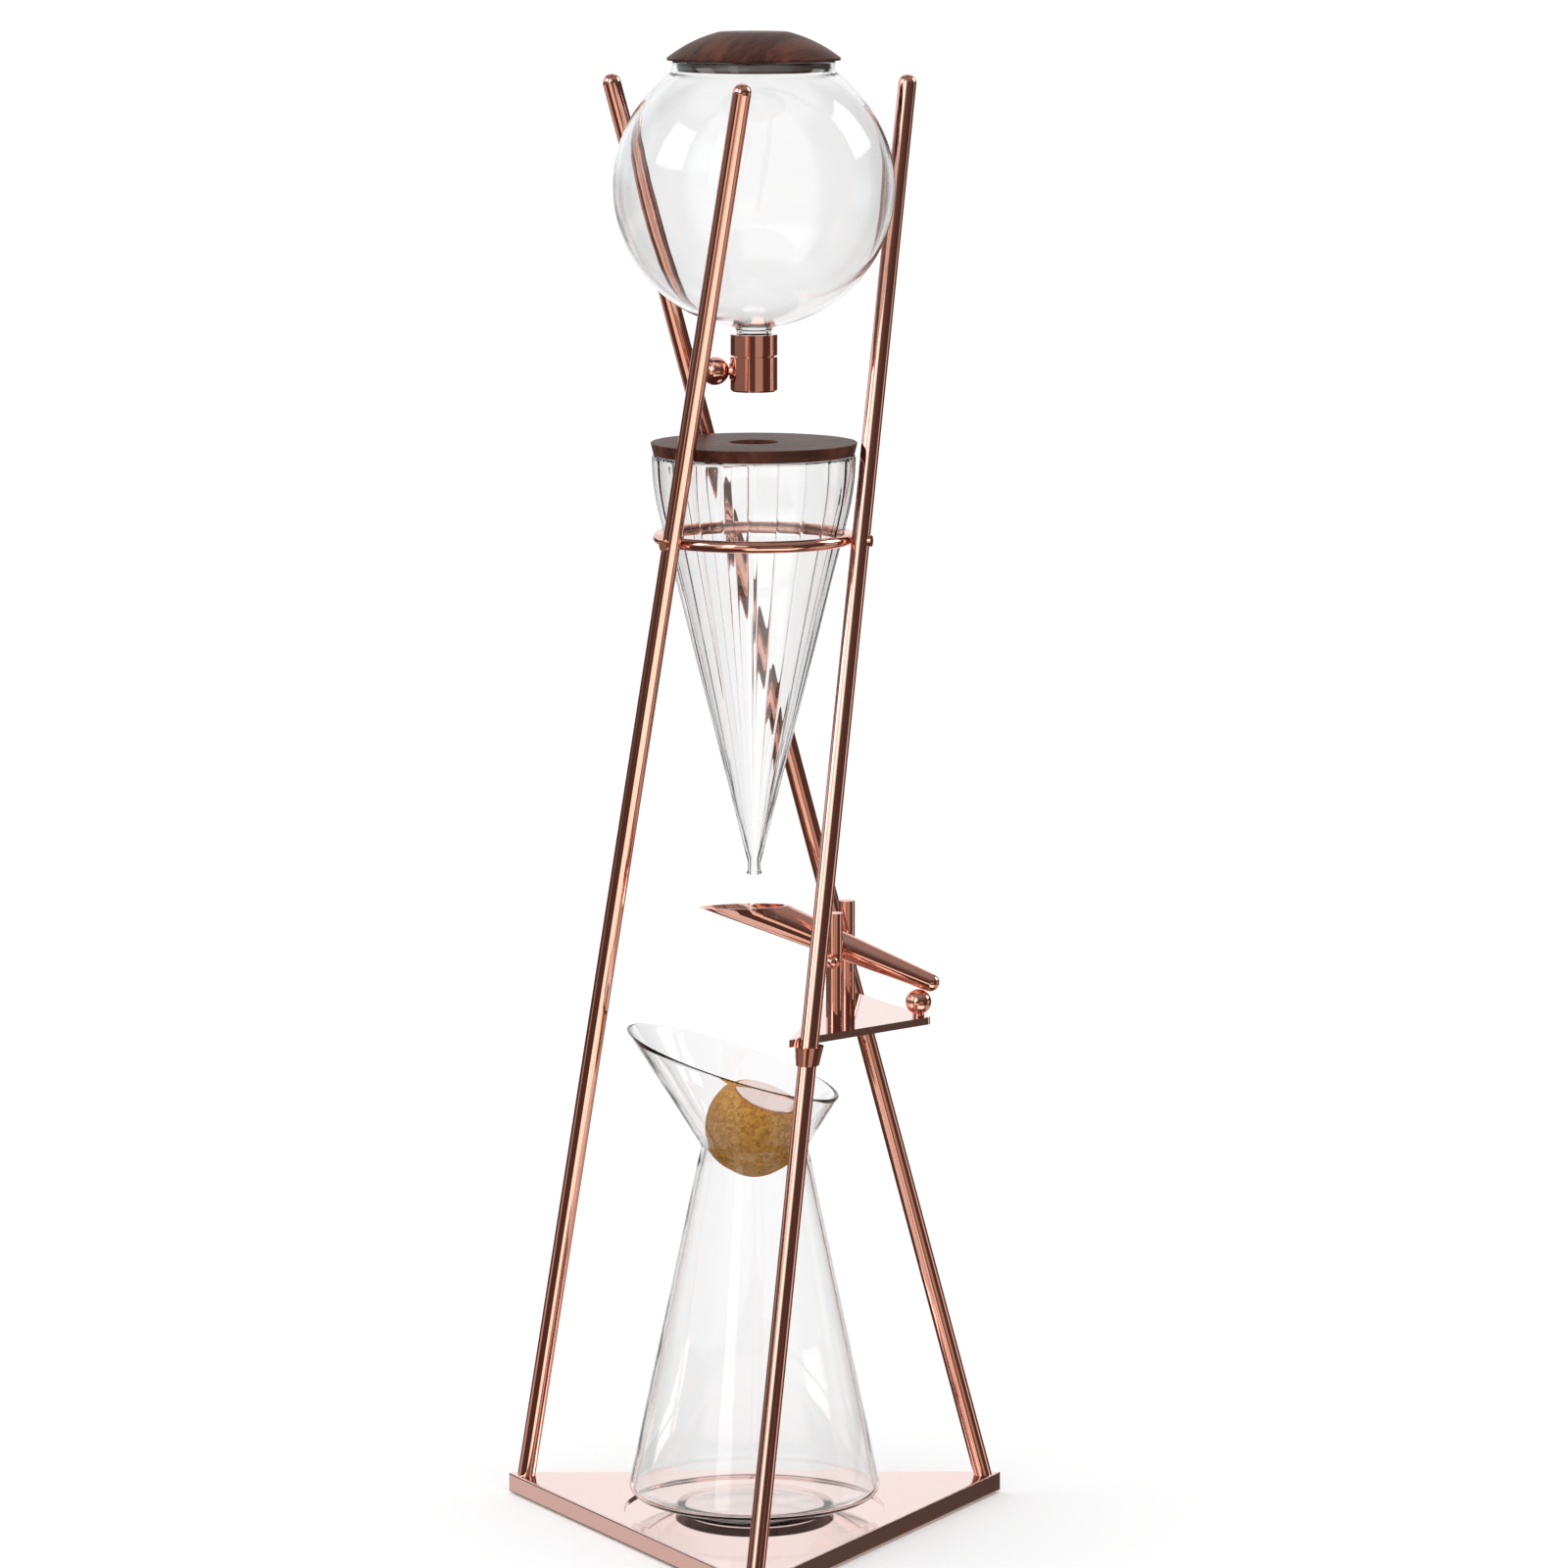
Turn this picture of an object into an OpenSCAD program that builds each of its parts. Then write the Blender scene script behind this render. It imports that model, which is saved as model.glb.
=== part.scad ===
// Cold drip coffee tower: a twisted tripod of three leaning rods on a triangular plate.
// The rods cradle a glass globe, a ring on them holds the funnel, and a shelf on two of them
// carries a tipping tube that pours into the carafe.
// Millimetres, +Z up. The origin is on the tower's axis, on the plate's underside.

/* [Base plate] */
// Side of the triangular plate
base_side = 260; // [240:1:300]
// Thickness of the plate
base_t = 10; // [9:0.5:14]
// Length cut off each sharp corner, measured along the sides
base_blunt = 1.2; // [0.4:0.2:3]
// Diameter of the shallow seat for the carafe
seat_d = 134.4; // [131:0.2:140]
// Depth of the seat
seat_depth = 1.5; // [1:0.25:3]
// Diameter of a foot pad
pad_d = 18; // [12:1:24]
// Thickness of a foot pad
pad_t = 2; // [1.5:0.25:4]
// Depth of the pad's pocket in the plate
pad_pocket = 1; // [0.5:0.25:1.25]
// Distance of the pads from the tower's axis
pad_circle_r = 108; // [85:1:115]

/* [Leg rods] */
// Diameter of a rod
rod_d = 9.4; // [8:0.1:11]
// How far a rod's foot stands in from the plate's corner
foot_inset = 11.4; // [10:0.1:16]
// Radius of the circle through the rods' tops
top_circle_r = 86.6; // [84:0.1:90]
// How far a rod's top is turned round the axis from its foot, in degrees
rod_twist = 116.2; // [113:0.1:119]
// Height of the rods' tops over the plate
rod_rise = 730; // [700:5:760]
// Thread diameter of the screw in each foot
leg_screw_d = 3; // [2.5:0.5:3.5]
// Length of that thread inside the rod
leg_screw_grip = 8; // [6:0.5:9]
// Head diameter of that screw
leg_head_d = 5.4; // [4.6:0.2:5.8]
// Head height of that screw
leg_head_h = 2; // [1.6:0.2:3]

/* [Funnel ring] */
// Height of the ring over the plate
ring_rise = 503.4; // [495:0.5:515]
// Diameter of the ring's wire
wire_d = 6; // [5:0.25:7]
// Thread diameter of the ring's screws
ring_screw_d = 2.6; // [2:0.2:3]
// Head diameter of the ring's screws
ring_head_d = 5.8; // [5:0.2:7]
// Head height of the ring's screws
ring_head_h = 1.6; // [1.2:0.2:2.4]

/* [Shelf] */
// Height of the shelf's top over the plate
shelf_rise = 260.2; // [256:0.2:280]
// Thickness of the shelf
shelf_t = 3.8; // [3:0.2:6]
// Distance from the tower's axis to the shelf's outer point, before it is rounded
shelf_reach = 91.5; // [88:0.5:100]
// Radius of that rounded point
shelf_nose_r = 3; // [1.5:0.5:3.5]
// Distance from the tower's axis to the shelf's inner edge
shelf_inner = 31; // [28:0.5:36]
// How far a rod's axis lies outside the shelf's edge
rod_outside = 3; // [1:0.25:4]
// Top diameter of a collar
collar_top_d = 14.5; // [13.5:0.25:18]
// Bottom diameter of a collar
collar_low_d = 11.8; // [11.2:0.2:13.5]
// Height of a collar
collar_h = 9.2; // [7:0.2:14]
// Diameter of the set screw in a collar
set_screw_d = 2.5; // [2:0.25:3]

/* [Posts and pivot] */
// Diameter of a post
post_d = 8.4; // [7:0.2:10]
// Height of a post over the shelf
post_h = 55.4; // [50:0.2:60]
// Distance between the posts' axes
post_gap = 40; // [34:0.5:46]
// Distance from the tower's axis to the line of the posts
post_reach = 44.5; // [42:0.5:50]
// Diameter of the screw under a post
post_screw_d = 3; // [2.5:0.5:4]
// Height of the pivot pin over the shelf
pin_rise = 31.4; // [29:0.2:34]
// Diameter of the pivot pin
pin_d = 3; // [2.5:0.25:3.5]
// Diameter of the ball nuts on the pin
pin_nut_d = 6.3; // [5.5:0.1:8]
// Diameter of the washers under the nuts
washer_d = 7.6; // [7:0.2:9]
// Thickness of a washer
washer_t = 0.8; // [0.5:0.1:1.5]
// Outer diameter of the bush that turns on the pin
bush_d = 5.6; // [5:0.2:6.4]

/* [Tipping tube] */
// How far the tube's middle line passes over the pin
tube_over_pin = 4; // [3.5:0.25:6]
// Slope of the tube at rest, in degrees
tube_tilt = 21.3; // [19:0.1:23]
// Outer radius of the tube over the pin
tube_r = 6.9; // [6:0.1:8]
// How much the radius grows for each millimetre towards the mouth
tube_taper = 0.047; // [0.03:0.001:0.06]
// Wall of the tube
tube_wall = 0.9; // [0.6:0.1:1.2]
// Length of the tube behind the pin, up to the end plug's dome
tube_back = 48; // [46:0.5:50]
// Distance from the tower's axis to the inner end of the mouth's cut
mouth_heel = 17.5; // [12:0.5:24]
// Slope of that cut down to the tip, in degrees
mouth_slope = 2.7; // [-2:0.1:6]
// Length of the end plug inside the tube
end_plug_l = 30; // [26:1:36]
// Diameter of the stop ball under the tube's tail
stop_ball_d = 13.2; // [11:0.2:14]
// Distance from the shelf's nose back to the middle of the stop ball
stop_inset = 6.9; // [5:0.1:10]
// Diameter of the stud that holds the stop ball
stop_stud_d = 3; // [2.5:0.5:4]

/* [Globe] */
// Outer radius of the globe
globe_r = 70.8; // [68:0.2:73]
// Wall of the glass
globe_wall = 2.4; // [1.8:0.1:3.5]
// Outer radius of the mouth's upright lip
lip_r = 41; // [38:0.5:44]
// Height of the lip's top over the globe's middle
lip_rise = 63; // [61:0.2:64]
// Outer diameter of the neck under the globe
neck_d = 17.4; // [16:0.2:18]
// Wall of the neck
neck_wall = 2.2; // [1.8:0.1:2.8]

/* [Globe cap] */
// Outer radius of the cap
cap_r = 43.6; // [42:0.2:47]
// Height of the cap
cap_h = 14.2; // [12:0.1:18]
// Radius of the flat on the cap
cap_flat_r = 17.2; // [12:0.2:22]
// Thickness of the cap's edge
cap_edge = 1.2; // [0.8:0.1:2]
// Height of the plug under the cap
cap_plug_h = 6; // [5:0.5:9]
// Width of the seal ring round the plug
cap_seal_w = 2.2; // [1.6:0.1:3]
// Height of that seal ring
cap_seal_h = 3.2; // [2:0.2:4]

/* [Drip valve] */
// Outer diameter of the valve
valve_d = 23.8; // [22:0.2:27]
// Height of the whole valve
valve_h = 28.7; // [27:0.1:31]
// Gap between the globe's underside and the valve
valve_drop = 3; // [2:0.25:6]
// Height of the collar nut
nut_h = 10.4; // [9.4:0.2:11]
// Width of the groove between the collar nut and the body
groove_w = 0.8; // [0.5:0.1:1.2]
// Depth of the plug's axis under the valve's top
plug_drop = 18.5; // [17.5:0.25:20]
// Diameter of the turning plug
plug_d = 7; // [6:0.25:8]
// Diameter of the drip bore
drip_bore = 2.4; // [1.6:0.2:3]
// Diameter of the ball knob
knob_d = 14.4; // [12:0.2:16]
// Distance from the tower's axis to the knob's middle
knob_reach = 19.6; // [19.2:0.2:24]
// Diameter of the stem between the plug and the knob
stem_d = 4.4; // [3.5:0.1:5]

/* [Funnel] */
// Outer radius of the funnel at its rim
funnel_r = 51.6; // [50.5:0.1:53]
// Half angle of the cone, in degrees
funnel_angle = 14.1; // [13.6:0.1:14.6]
// Radius of the curve from the cone to the upright rim
shoulder_r = 125; // [100:5:150]
// Outer diameter of the tip tube
tip_d = 7.6; // [7:0.1:9]
// Length of the tip tube
tip_l = 8; // [5:0.5:12]
// Wall of the glass
funnel_wall = 2; // [1.5:0.1:2.5]
// Radius of the lid's top face
lid_r = 52.3; // [51.5:0.1:54]
// Thickness of the lid
lid_t = 6.4; // [5:0.2:9]
// How much smaller the lid's underside is, on the radius
lid_taper = 1.6; // [0.6:0.1:2]
// Diameter of the hole in the lid
lid_hole_d = 24.4; // [16:0.2:30]

/* [Carafe] */
// Half angle of the carafe's body, in degrees
body_angle = 12.32; // [11.5:0.02:12.6]
// Outer radius of the waist
waist_r = 27.3; // [27:0.1:30]
// Height of the waist over the carafe's foot
waist_h = 192.3; // [185:0.1:196]
// Radius of the rounded heel
heel_r = 24; // [18:0.5:28]
// Half angle of the flared mouth, in degrees
flare_angle = 32.1; // [29:0.1:33]
// Height of the slanted rim over the waist, on the axis
rim_rise = 39.7; // [36:0.1:41]
// Slope of the rim, in degrees
rim_tilt = 17.8; // [15:0.1:19]
// Wall of the glass
carafe_wall = 2.8; // [2:0.1:3]
// Thickness of the carafe's floor
carafe_floor = 4; // [2.5:0.25:6]

/* [Stopper] */
// Diameter of the cork ball
cork_d = 51; // [51:0.2:53]
// Distance from the ball's middle to the polished face
face_reach = 18.6; // [17:0.1:20]
// Diameter of the metal disc in the cut face
disc_d = 33; // [26:0.5:33.5]
// Thickness of the disc
disc_t = 2; // [1.4:0.2:3]
// How far the disc stands out of the cork
disc_proud = 0.8; // [0.4:0.1:1.2]
// Lean of the cut face away from level, in degrees
face_lean = 22.3; // [0:0.1:30]
// Direction that the cut face leans to, in degrees
face_turn = -32; // [-60:1:0]

/* [Hidden] */
$fn = 96;
e = 0.01;            // how far a cutter runs past a face
over = 1;            // how far a tapered cutter runs past an open end
far = 400;           // longer than any piece that is cut
fit = 0.05;          // radial clearance of pins, screws and turning fits
seat_gap = 0.2;      // gap between bodies where one rests on the other
ring_gap = 0.1;      // gap between the ring and the rods it is screwed to
notch_gap = 0.3;     // gap between the shelf's notch and a rod
deck_z = base_t;
pad_low = pad_pocket - pad_t;
rod_r = rod_d / 2;
ring_z = deck_z + ring_rise;
shelf_z = deck_z + shelf_rise;
corner_r = base_side / sqrt(3);
foot_circle_r = corner_r - foot_inset;
stop_reach = shelf_reach - stop_inset;

copper = [0.80, 0.47, 0.36];
pale_copper = [0.92, 0.72, 0.66];
walnut = [0.27, 0.12, 0.08];
cork_tan = [0.66, 0.47, 0.22];
glass = [0.86, 0.92, 0.93, 0.45];
silicone = [0.75, 0.74, 0.72];
rubber = [0.12, 0.12, 0.12];
steel = [0.70, 0.70, 0.72];

// The rods: 0 is the front one, 1 the right one, 2 the left one, by their feet.
function polar(r, a, z) = [r * cos(a), r * sin(a), z];
function foot(i) = polar(foot_circle_r, 270 + 120 * i, deck_z);
function top(i) = polar(top_circle_r, 270 + 120 * i + rod_twist, deck_z + rod_rise);
function unit(v) = v / norm(v);
function rod_dir(i) = unit(top(i) - foot(i));
function rod_at(i, z) = foot(i) + (top(i) - foot(i)) * (z - deck_z) / rod_rise;
function flat_r(p) = norm([p.x, p.y]);
function flat_a(p) = atan2(p.y, p.x);
lean = acos(rod_dir(0).z);

// The quarter turn keeps the start line of a round piece off the points of its oblique cuts.
module on_rod(i, z) {
    u = rod_dir(i);
    translate(rod_at(i, z)) rotate([0, lean, atan2(u.y, u.x)]) rotate(90) children();
}
module slab(z0, z1) translate([-far, -far, z0]) cube([2 * far, 2 * far, z1 - z0]);

// The globe rests where its skin is rod_r from the three rods' axes, on the wide side of their waist.
u0 = rod_dir(0);
f0 = foot(0);
rest_r = globe_r + rod_r + seat_gap;
fu = f0.x * u0.x + f0.y * u0.y;
qa = 1 - u0.z * u0.z;
qb = 2 * fu * u0.z;
qc = flat_r(f0) * flat_r(f0) - fu * fu - rest_r * rest_r;
globe_z = deck_z + (-qb + sqrt(qb * qb - 4 * qa * qc)) / (2 * qa);

// The ring lies inside the rods, and the funnel's cone rests on the ring.
wire_r = wire_d / 2;
ring_r = flat_r(rod_at(0, ring_z)) - rod_r - wire_r - ring_gap;
cone_seat_r = ring_r - (wire_r + seat_gap) / cos(funnel_angle);
shoulder_h = shoulder_r * sin(funnel_angle);
shoulder_low_r = funnel_r - shoulder_r * (1 - cos(funnel_angle));
cone_low_r = tip_d / 2;
cone_h = (shoulder_low_r - cone_low_r) / tan(funnel_angle);
funnel_z = ring_z - tip_l - (cone_seat_r - cone_low_r) / tan(funnel_angle);
funnel_h = tip_l + cone_h + shoulder_h;
lid_z = funnel_z + funnel_h + seat_gap;

// The shelf is symmetric between the rods that it leans on. Its own frame has +X outwards.
shelf_low = shelf_z - shelf_t;
shelf_az = (flat_a(rod_at(0, shelf_z)) + flat_a(rod_at(1, shelf_z))) / 2;
rod_on_shelf = flat_r(rod_at(0, shelf_z));
half_span = (flat_a(rod_at(1, shelf_z)) - flat_a(rod_at(0, shelf_z))) / 2;
rod_u = rod_on_shelf * cos(half_span);
rod_v = rod_on_shelf * sin(half_span);
rod_away = norm([shelf_reach - rod_u, rod_v]);
edge_angle = acos(rod_outside / rod_away) - atan2(shelf_reach - rod_u, rod_v);
shelf_half_w = (shelf_reach - shelf_inner) * tan(edge_angle);
nose_u = shelf_reach - shelf_nose_r / sin(edge_angle);
nose_steps = 6;
// the upright notch clears the leaning rod through the plate's thickness
notch_r = rod_r / cos(lean) + shelf_t / 2 * tan(lean) + notch_gap;
module shelf_frame() rotate([0, 0, shelf_az]) children();

// The pivot and the tipping tube, in the shelf's frame.
pin_z = shelf_z + pin_rise;
post_r = post_d / 2;
post_inner = post_gap / 2 - post_r;
bush_l = 2 * post_inner - 2 * seat_gap;
tube_front = 95;      // uncut length before the pin
function tube_out(s) = tube_r - tube_taper * s;
module tube_frame() shelf_frame() translate([post_reach, 0, pin_z])
    rotate([0, tube_tilt, 0]) translate([0, 0, tube_over_pin]) children();
stop_r = stop_ball_d / 2;
skin_a = atan(tube_taper);
// height of the tube's middle line at a distance u from the tower's axis
function line_z(u) = pin_z + tube_over_pin / cos(tube_tilt) - (u - post_reach) * tan(tube_tilt);
function line_r(u) = tube_r - tube_taper * (u - post_reach) / cos(tube_tilt);
mouth_z = line_z(mouth_heel) + line_r(mouth_heel) / cos(tube_tilt + skin_a);
// the stop ball touches the underside of the tail
stop_z = line_z(stop_reach) - (line_r(stop_reach) + stop_r + seat_gap) / cos(tube_tilt);

// The valve hangs under the globe.
valve_top = globe_z - globe_r - valve_drop;
valve_low = valve_top - valve_h;
valve_r = valve_d / 2;
body_top = valve_top - nut_h - groove_w;
plug_z = valve_top - plug_drop;
neck_gap = 0.3;
nut_lip = 5.8;                       // length of the nut's bore round the neck
boss_gap = 0.4;                      // gap over the boss, inside the nut
boss_h = nut_h - nut_lip - boss_gap;
boss_d = neck_d + 3.2;
gasket_t = 1.2;
neck_end = body_top + groove_w + boss_h + gasket_t;
ring_seal_h = 2.4;
ring_seal_w = 1.8;
ring_seal_drop = 2;                  // depth of the ring seal under the nut's top
ring_seal_z = valve_top - ring_seal_drop;
plug_r = plug_d / 2;
plug_back = plug_r + 2.4;            // how far the plug reaches past the drip bore
gland_d = plug_d + 3;
gland_t = 2.2;
gland_proud = 0.4;                   // how far the gland nut stands out of the body
gland_bevel = 0.8;
body_bevel = 0.8;                    // on the valve's lower edge
funnel_in_h = 3;                     // height of the cone under the neck
drip_cone_h = 2.5;
drip_cone_d = 7;
stem_in = 2;                         // how far the stem reaches past the knob's middle

// The cap sits on the globe's lip.
cap_z = globe_z + lip_rise + seat_gap;
lip_wall = globe_wall;
cap_seal_r = lip_r - lip_wall - seat_gap;
cap_ball_low = (cap_h * cap_h + cap_flat_r * cap_flat_r - cap_edge * cap_edge - cap_r * cap_r)
    / (2 * (cap_h - cap_edge));
cap_ball_r = norm([cap_r, cap_edge - cap_ball_low]);

// The carafe stands in its seat.
carafe_z = deck_z - seat_depth + seat_gap;
waist_z = carafe_z + waist_h;
heel_c = waist_r + (waist_h - heel_r * (1 + sin(body_angle))) * tan(body_angle)
    - heel_r * cos(body_angle);
rim_z = waist_z + rim_rise;
flare_spare = 30;    // how much of the flare the slanted rim cuts off
flare_h = rim_rise + flare_spare;
heel_steps = 12;

flare_tan = tan(flare_angle);
body_tan = tan(body_angle);
wall_across = carafe_wall / cos(body_angle);
flare_across = carafe_wall / cos(flare_angle);
// The inner cones meet a little over the waist, at the edge that the cork ball rests on.
edge_rise = (flare_across - wall_across) / (flare_tan + body_tan);
edge_r = waist_r - wall_across - edge_rise * body_tan;
cork_r = cork_d / 2;
cork_z = waist_z + edge_rise + sqrt((cork_r + seat_gap) * (cork_r + seat_gap) - edge_r * edge_r);

// ---- base ----

head_low = 0.9;      // how far a foot screw's head is sunk in the plate
drill_spare = 2;     // how much deeper a blind hole is than its screw
// An upright screw meets the leaning rod's middle halfway along its thread.
module foot_screw_frame(i) {
    p = rod_at(i, deck_z + leg_screw_grip / 2);
    translate([p.x, p.y, 0]) children();
}

module base_plate() color(pale_copper) difference() {
    linear_extrude(base_t) polygon([
        for (i = [0:2], s = [-1, 1])
            let (c = corner_r * [cos(270 + 120 * i), sin(270 + 120 * i)],
                 n = corner_r * [cos(270 + 120 * (i + s)), sin(270 + 120 * (i + s))])
            c + (n - c) * base_blunt / base_side]);
    translate([0, 0, deck_z - seat_depth]) cylinder(d = seat_d, h = far);
    for (i = [0:2]) {
        rotate(90 + 120 * i) translate([-pad_circle_r, 0, -e])
            cylinder(d = pad_d + 2 * fit, h = pad_pocket + e);
        foot_screw_frame(i) {
            translate([0, 0, -e]) cylinder(d = leg_screw_d + 2 * fit, h = far);
            translate([0, 0, -e]) cylinder(d = leg_head_d + 2 * fit, h = e + head_low + leg_head_h);
        }
    }
}

module foot_pads() color(rubber) for (i = [0:2])
    rotate(90 + 120 * i) translate([-pad_circle_r, 0, pad_low]) cylinder(d = pad_d, h = pad_t);

leg_screw_len = base_t + leg_screw_grip;
module leg_screws() color(steel) for (i = [0:2]) foot_screw_frame(i) {
    translate([0, 0, head_low]) cylinder(d = leg_head_d, h = leg_head_h);
    translate([0, 0, head_low + leg_head_h - e])
        cylinder(d = leg_screw_d, h = leg_screw_len - head_low - leg_head_h);
}

// ---- rods and ring ----

module ring_screw_frame(i) {
    p = rod_at(i, ring_z);
    translate(p) rotate([0, 90, flat_a(p)]) children();
}
spot = 0.5;          // depth of the flat under a ring screw's head
rod_len = norm(top(0) - foot(0));
rod_spare = 20;      // extra length that the plate's face cuts off

module leg_rod(i) color(copper) difference() {
    on_rod(i, deck_z) {
        translate([0, 0, -rod_spare]) cylinder(r = rod_r, h = rod_spare + rod_len);
        translate([0, 0, rod_len]) sphere(r = rod_r);
    }
    slab(-far, deck_z);
    foot_screw_frame(i) cylinder(d = leg_screw_d + 2 * fit, h = leg_screw_len + drill_spare);
    ring_screw_frame(i) {
        translate([0, 0, -2 * rod_r]) cylinder(d = ring_screw_d + 2 * fit, h = 4 * rod_r);
        translate([0, 0, rod_r - spot]) cylinder(d = ring_head_d + 2 * fit, h = rod_r);
    }
}
module leg_rod_front() leg_rod(0);
module leg_rod_right() leg_rod(1);
module leg_rod_left() leg_rod(2);

ring_thread = wire_r + 1.2;   // how deep a ring screw reaches into the wire
module funnel_ring() color(copper) difference() {
    translate([0, 0, ring_z]) rotate_extrude() translate([ring_r, 0]) circle(r = wire_r);
    for (i = [0:2]) ring_screw_frame(i)
        translate([0, 0, -rod_r - ring_gap - ring_thread - fit])
            cylinder(d = ring_screw_d + 2 * fit, h = far / 10);
}
module ring_screws() color(copper) for (i = [0:2]) ring_screw_frame(i) {
    translate([0, 0, rod_r - spot]) cylinder(d = ring_head_d, h = ring_head_h);
    translate([0, 0, -rod_r - ring_gap - ring_thread])
        cylinder(d = ring_screw_d, h = 2 * rod_r + ring_gap + ring_thread - spot + e);
}

// ---- shelf ----

collar_z = shelf_low - collar_h;
collar_spare = 4;    // extra length at each end that the level faces cut off
collar_slope = (collar_top_d - collar_low_d) / 2 / collar_h;
set_screw_l = 1.3;   // the set screws point out from the shelf's straight inner side
set_screw_in = rod_r / cos(lean) + set_screw_d / 2 * tan(lean) + fit;
module collar_screw_frame(i) {
    p = rod_at(i, shelf_low - collar_h / 2);
    translate(p) rotate([0, 90, shelf_az + 180]) children();
}
module post_places() for (s = [-1, 1]) translate([post_reach, s * post_gap / 2, 0]) children();
post_head_d = 1.9 * post_screw_d;
post_head_h = 1.7;
post_grip = 7;       // length of a post screw's thread inside the post
post_flat = 0.9;     // depth of the flat under a washer
head_gap = 0.1;      // how far a screw's head stays in from the shelf's underside

module shelf_plate() color(pale_copper) difference() {
    shelf_frame() difference() {
        translate([0, 0, shelf_low]) linear_extrude(shelf_t) polygon([
            for (s = [-1, 1]) [shelf_inner, s * shelf_half_w],
            for (k = [nose_steps:-1:-nose_steps]) let (a = (90 - edge_angle) * k / nose_steps)
                [nose_u + shelf_nose_r * cos(a), shelf_nose_r * sin(a)]]);
        post_places() {
            translate([0, 0, shelf_low - e]) cylinder(d = post_screw_d + 2 * fit, h = far / 10);
            translate([0, 0, shelf_low - e]) cylinder(d = post_head_d + 2 * fit, h = post_head_h + e);
        }
        translate([stop_reach, 0, shelf_low - e]) cylinder(d = stop_stud_d + 2 * fit, h = far / 10);
    }
    for (i = [0:1]) {
        p = rod_at(i, shelf_z - shelf_t / 2);
        translate([p.x, p.y, 0]) cylinder(r = notch_r, h = far);
    }
}

module shelf_collars() color(copper) for (i = [0:1]) difference() {
    on_rod(i, collar_z) translate([0, 0, -collar_spare])
        cylinder(r1 = collar_low_d / 2 - collar_spare * collar_slope,
                 r2 = collar_top_d / 2 + collar_spare * collar_slope,
                 h = collar_h + 2 * collar_spare);
    slab(-far, collar_z);
    slab(shelf_low, far * 2);
    on_rod(i, shelf_z) translate([0, 0, -far / 2]) cylinder(r = rod_r + fit, h = far);
    collar_screw_frame(i) cylinder(d = set_screw_d + 2 * fit, h = far / 10);
}
module collar_screws() color(steel) for (i = [0:1]) collar_screw_frame(i)
    translate([0, 0, set_screw_in]) cylinder(d = set_screw_d, h = set_screw_l);

// ---- posts and pivot ----

module post(s) color(copper) shelf_frame() difference() {
    translate([post_reach, s * post_gap / 2, shelf_z]) cylinder(r = post_r, h = post_h);
    translate([post_reach, s * post_gap / 2, shelf_z - e])
        cylinder(d = post_screw_d + 2 * fit, h = post_grip + drill_spare);
    translate([post_reach, 0, pin_z]) rotate([90, 0, 0])
        cylinder(d = pin_d + 2 * fit, h = far, center = true);
    // a flat outside for the washer
    translate([post_reach, s * (post_gap / 2 + 2 * post_r - post_flat), pin_z]) rotate([90, 0, 0])
        cylinder(d = washer_d + 2 * fit, h = post_d, center = true);
}
module front_post() post(-1);
module rear_post() post(1);

module post_screws() color(steel) shelf_frame() post_places() {
    translate([0, 0, shelf_low + head_gap]) cylinder(d = post_head_d, h = post_head_h - head_gap);
    translate([0, 0, shelf_low + post_head_h - e])
        cylinder(d = post_screw_d, h = shelf_t + post_grip - post_head_h);
}

washer_out = post_gap / 2 + post_r - post_flat;
nut_flat = 0.6;      // depth of the flat that a ball nut turns to its washer
nut_out = washer_out + washer_t + pin_nut_d / 2 - nut_flat;
module pivot_pin() color(steel) shelf_frame() translate([post_reach, 0, pin_z]) rotate([90, 0, 0])
    cylinder(d = pin_d, h = 2 * nut_out, center = true);
module pin_washers() color(copper) shelf_frame() for (s = [-1, 1])
    translate([post_reach, s * (washer_out + washer_t / 2), pin_z]) rotate([90, 0, 0]) difference() {
        cylinder(d = washer_d, h = washer_t, center = true);
        cylinder(d = pin_d + 2 * fit, h = far / 10, center = true);
    }
module pin_nuts() color(copper) shelf_frame() for (s = [-1, 1])
    translate([post_reach, s * nut_out, pin_z]) difference() {
        sphere(d = pin_nut_d);
        translate([0, -s * (pin_nut_d - nut_flat), 0]) cube([far, pin_nut_d, far], center = true);
        rotate([90, 0, 0]) translate([0, 0, s > 0 ? -fit : -pin_nut_d])
            cylinder(d = pin_d + 2 * fit, h = pin_nut_d + fit);
    }

stop_foot_d = stop_stud_d + 3;
stop_foot_h = max(stop_z - shelf_z - stop_r, 0) + 1.2;
module stop_ball() color(copper) shelf_frame() translate([stop_reach, 0, 0]) {
    translate([0, 0, stop_z]) sphere(r = stop_r);
    translate([0, 0, shelf_z]) cylinder(d = stop_foot_d, h = stop_foot_h);
    translate([0, 0, shelf_low + head_gap]) cylinder(d = stop_stud_d, h = shelf_t);
}

// ---- tipping tube ----

module tube_cone(gap, from, to) rotate([0, 90, 0]) translate([0, 0, from])
    cylinder(r1 = tube_out(from) - gap, r2 = tube_out(to) - gap, h = to - from);

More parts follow.
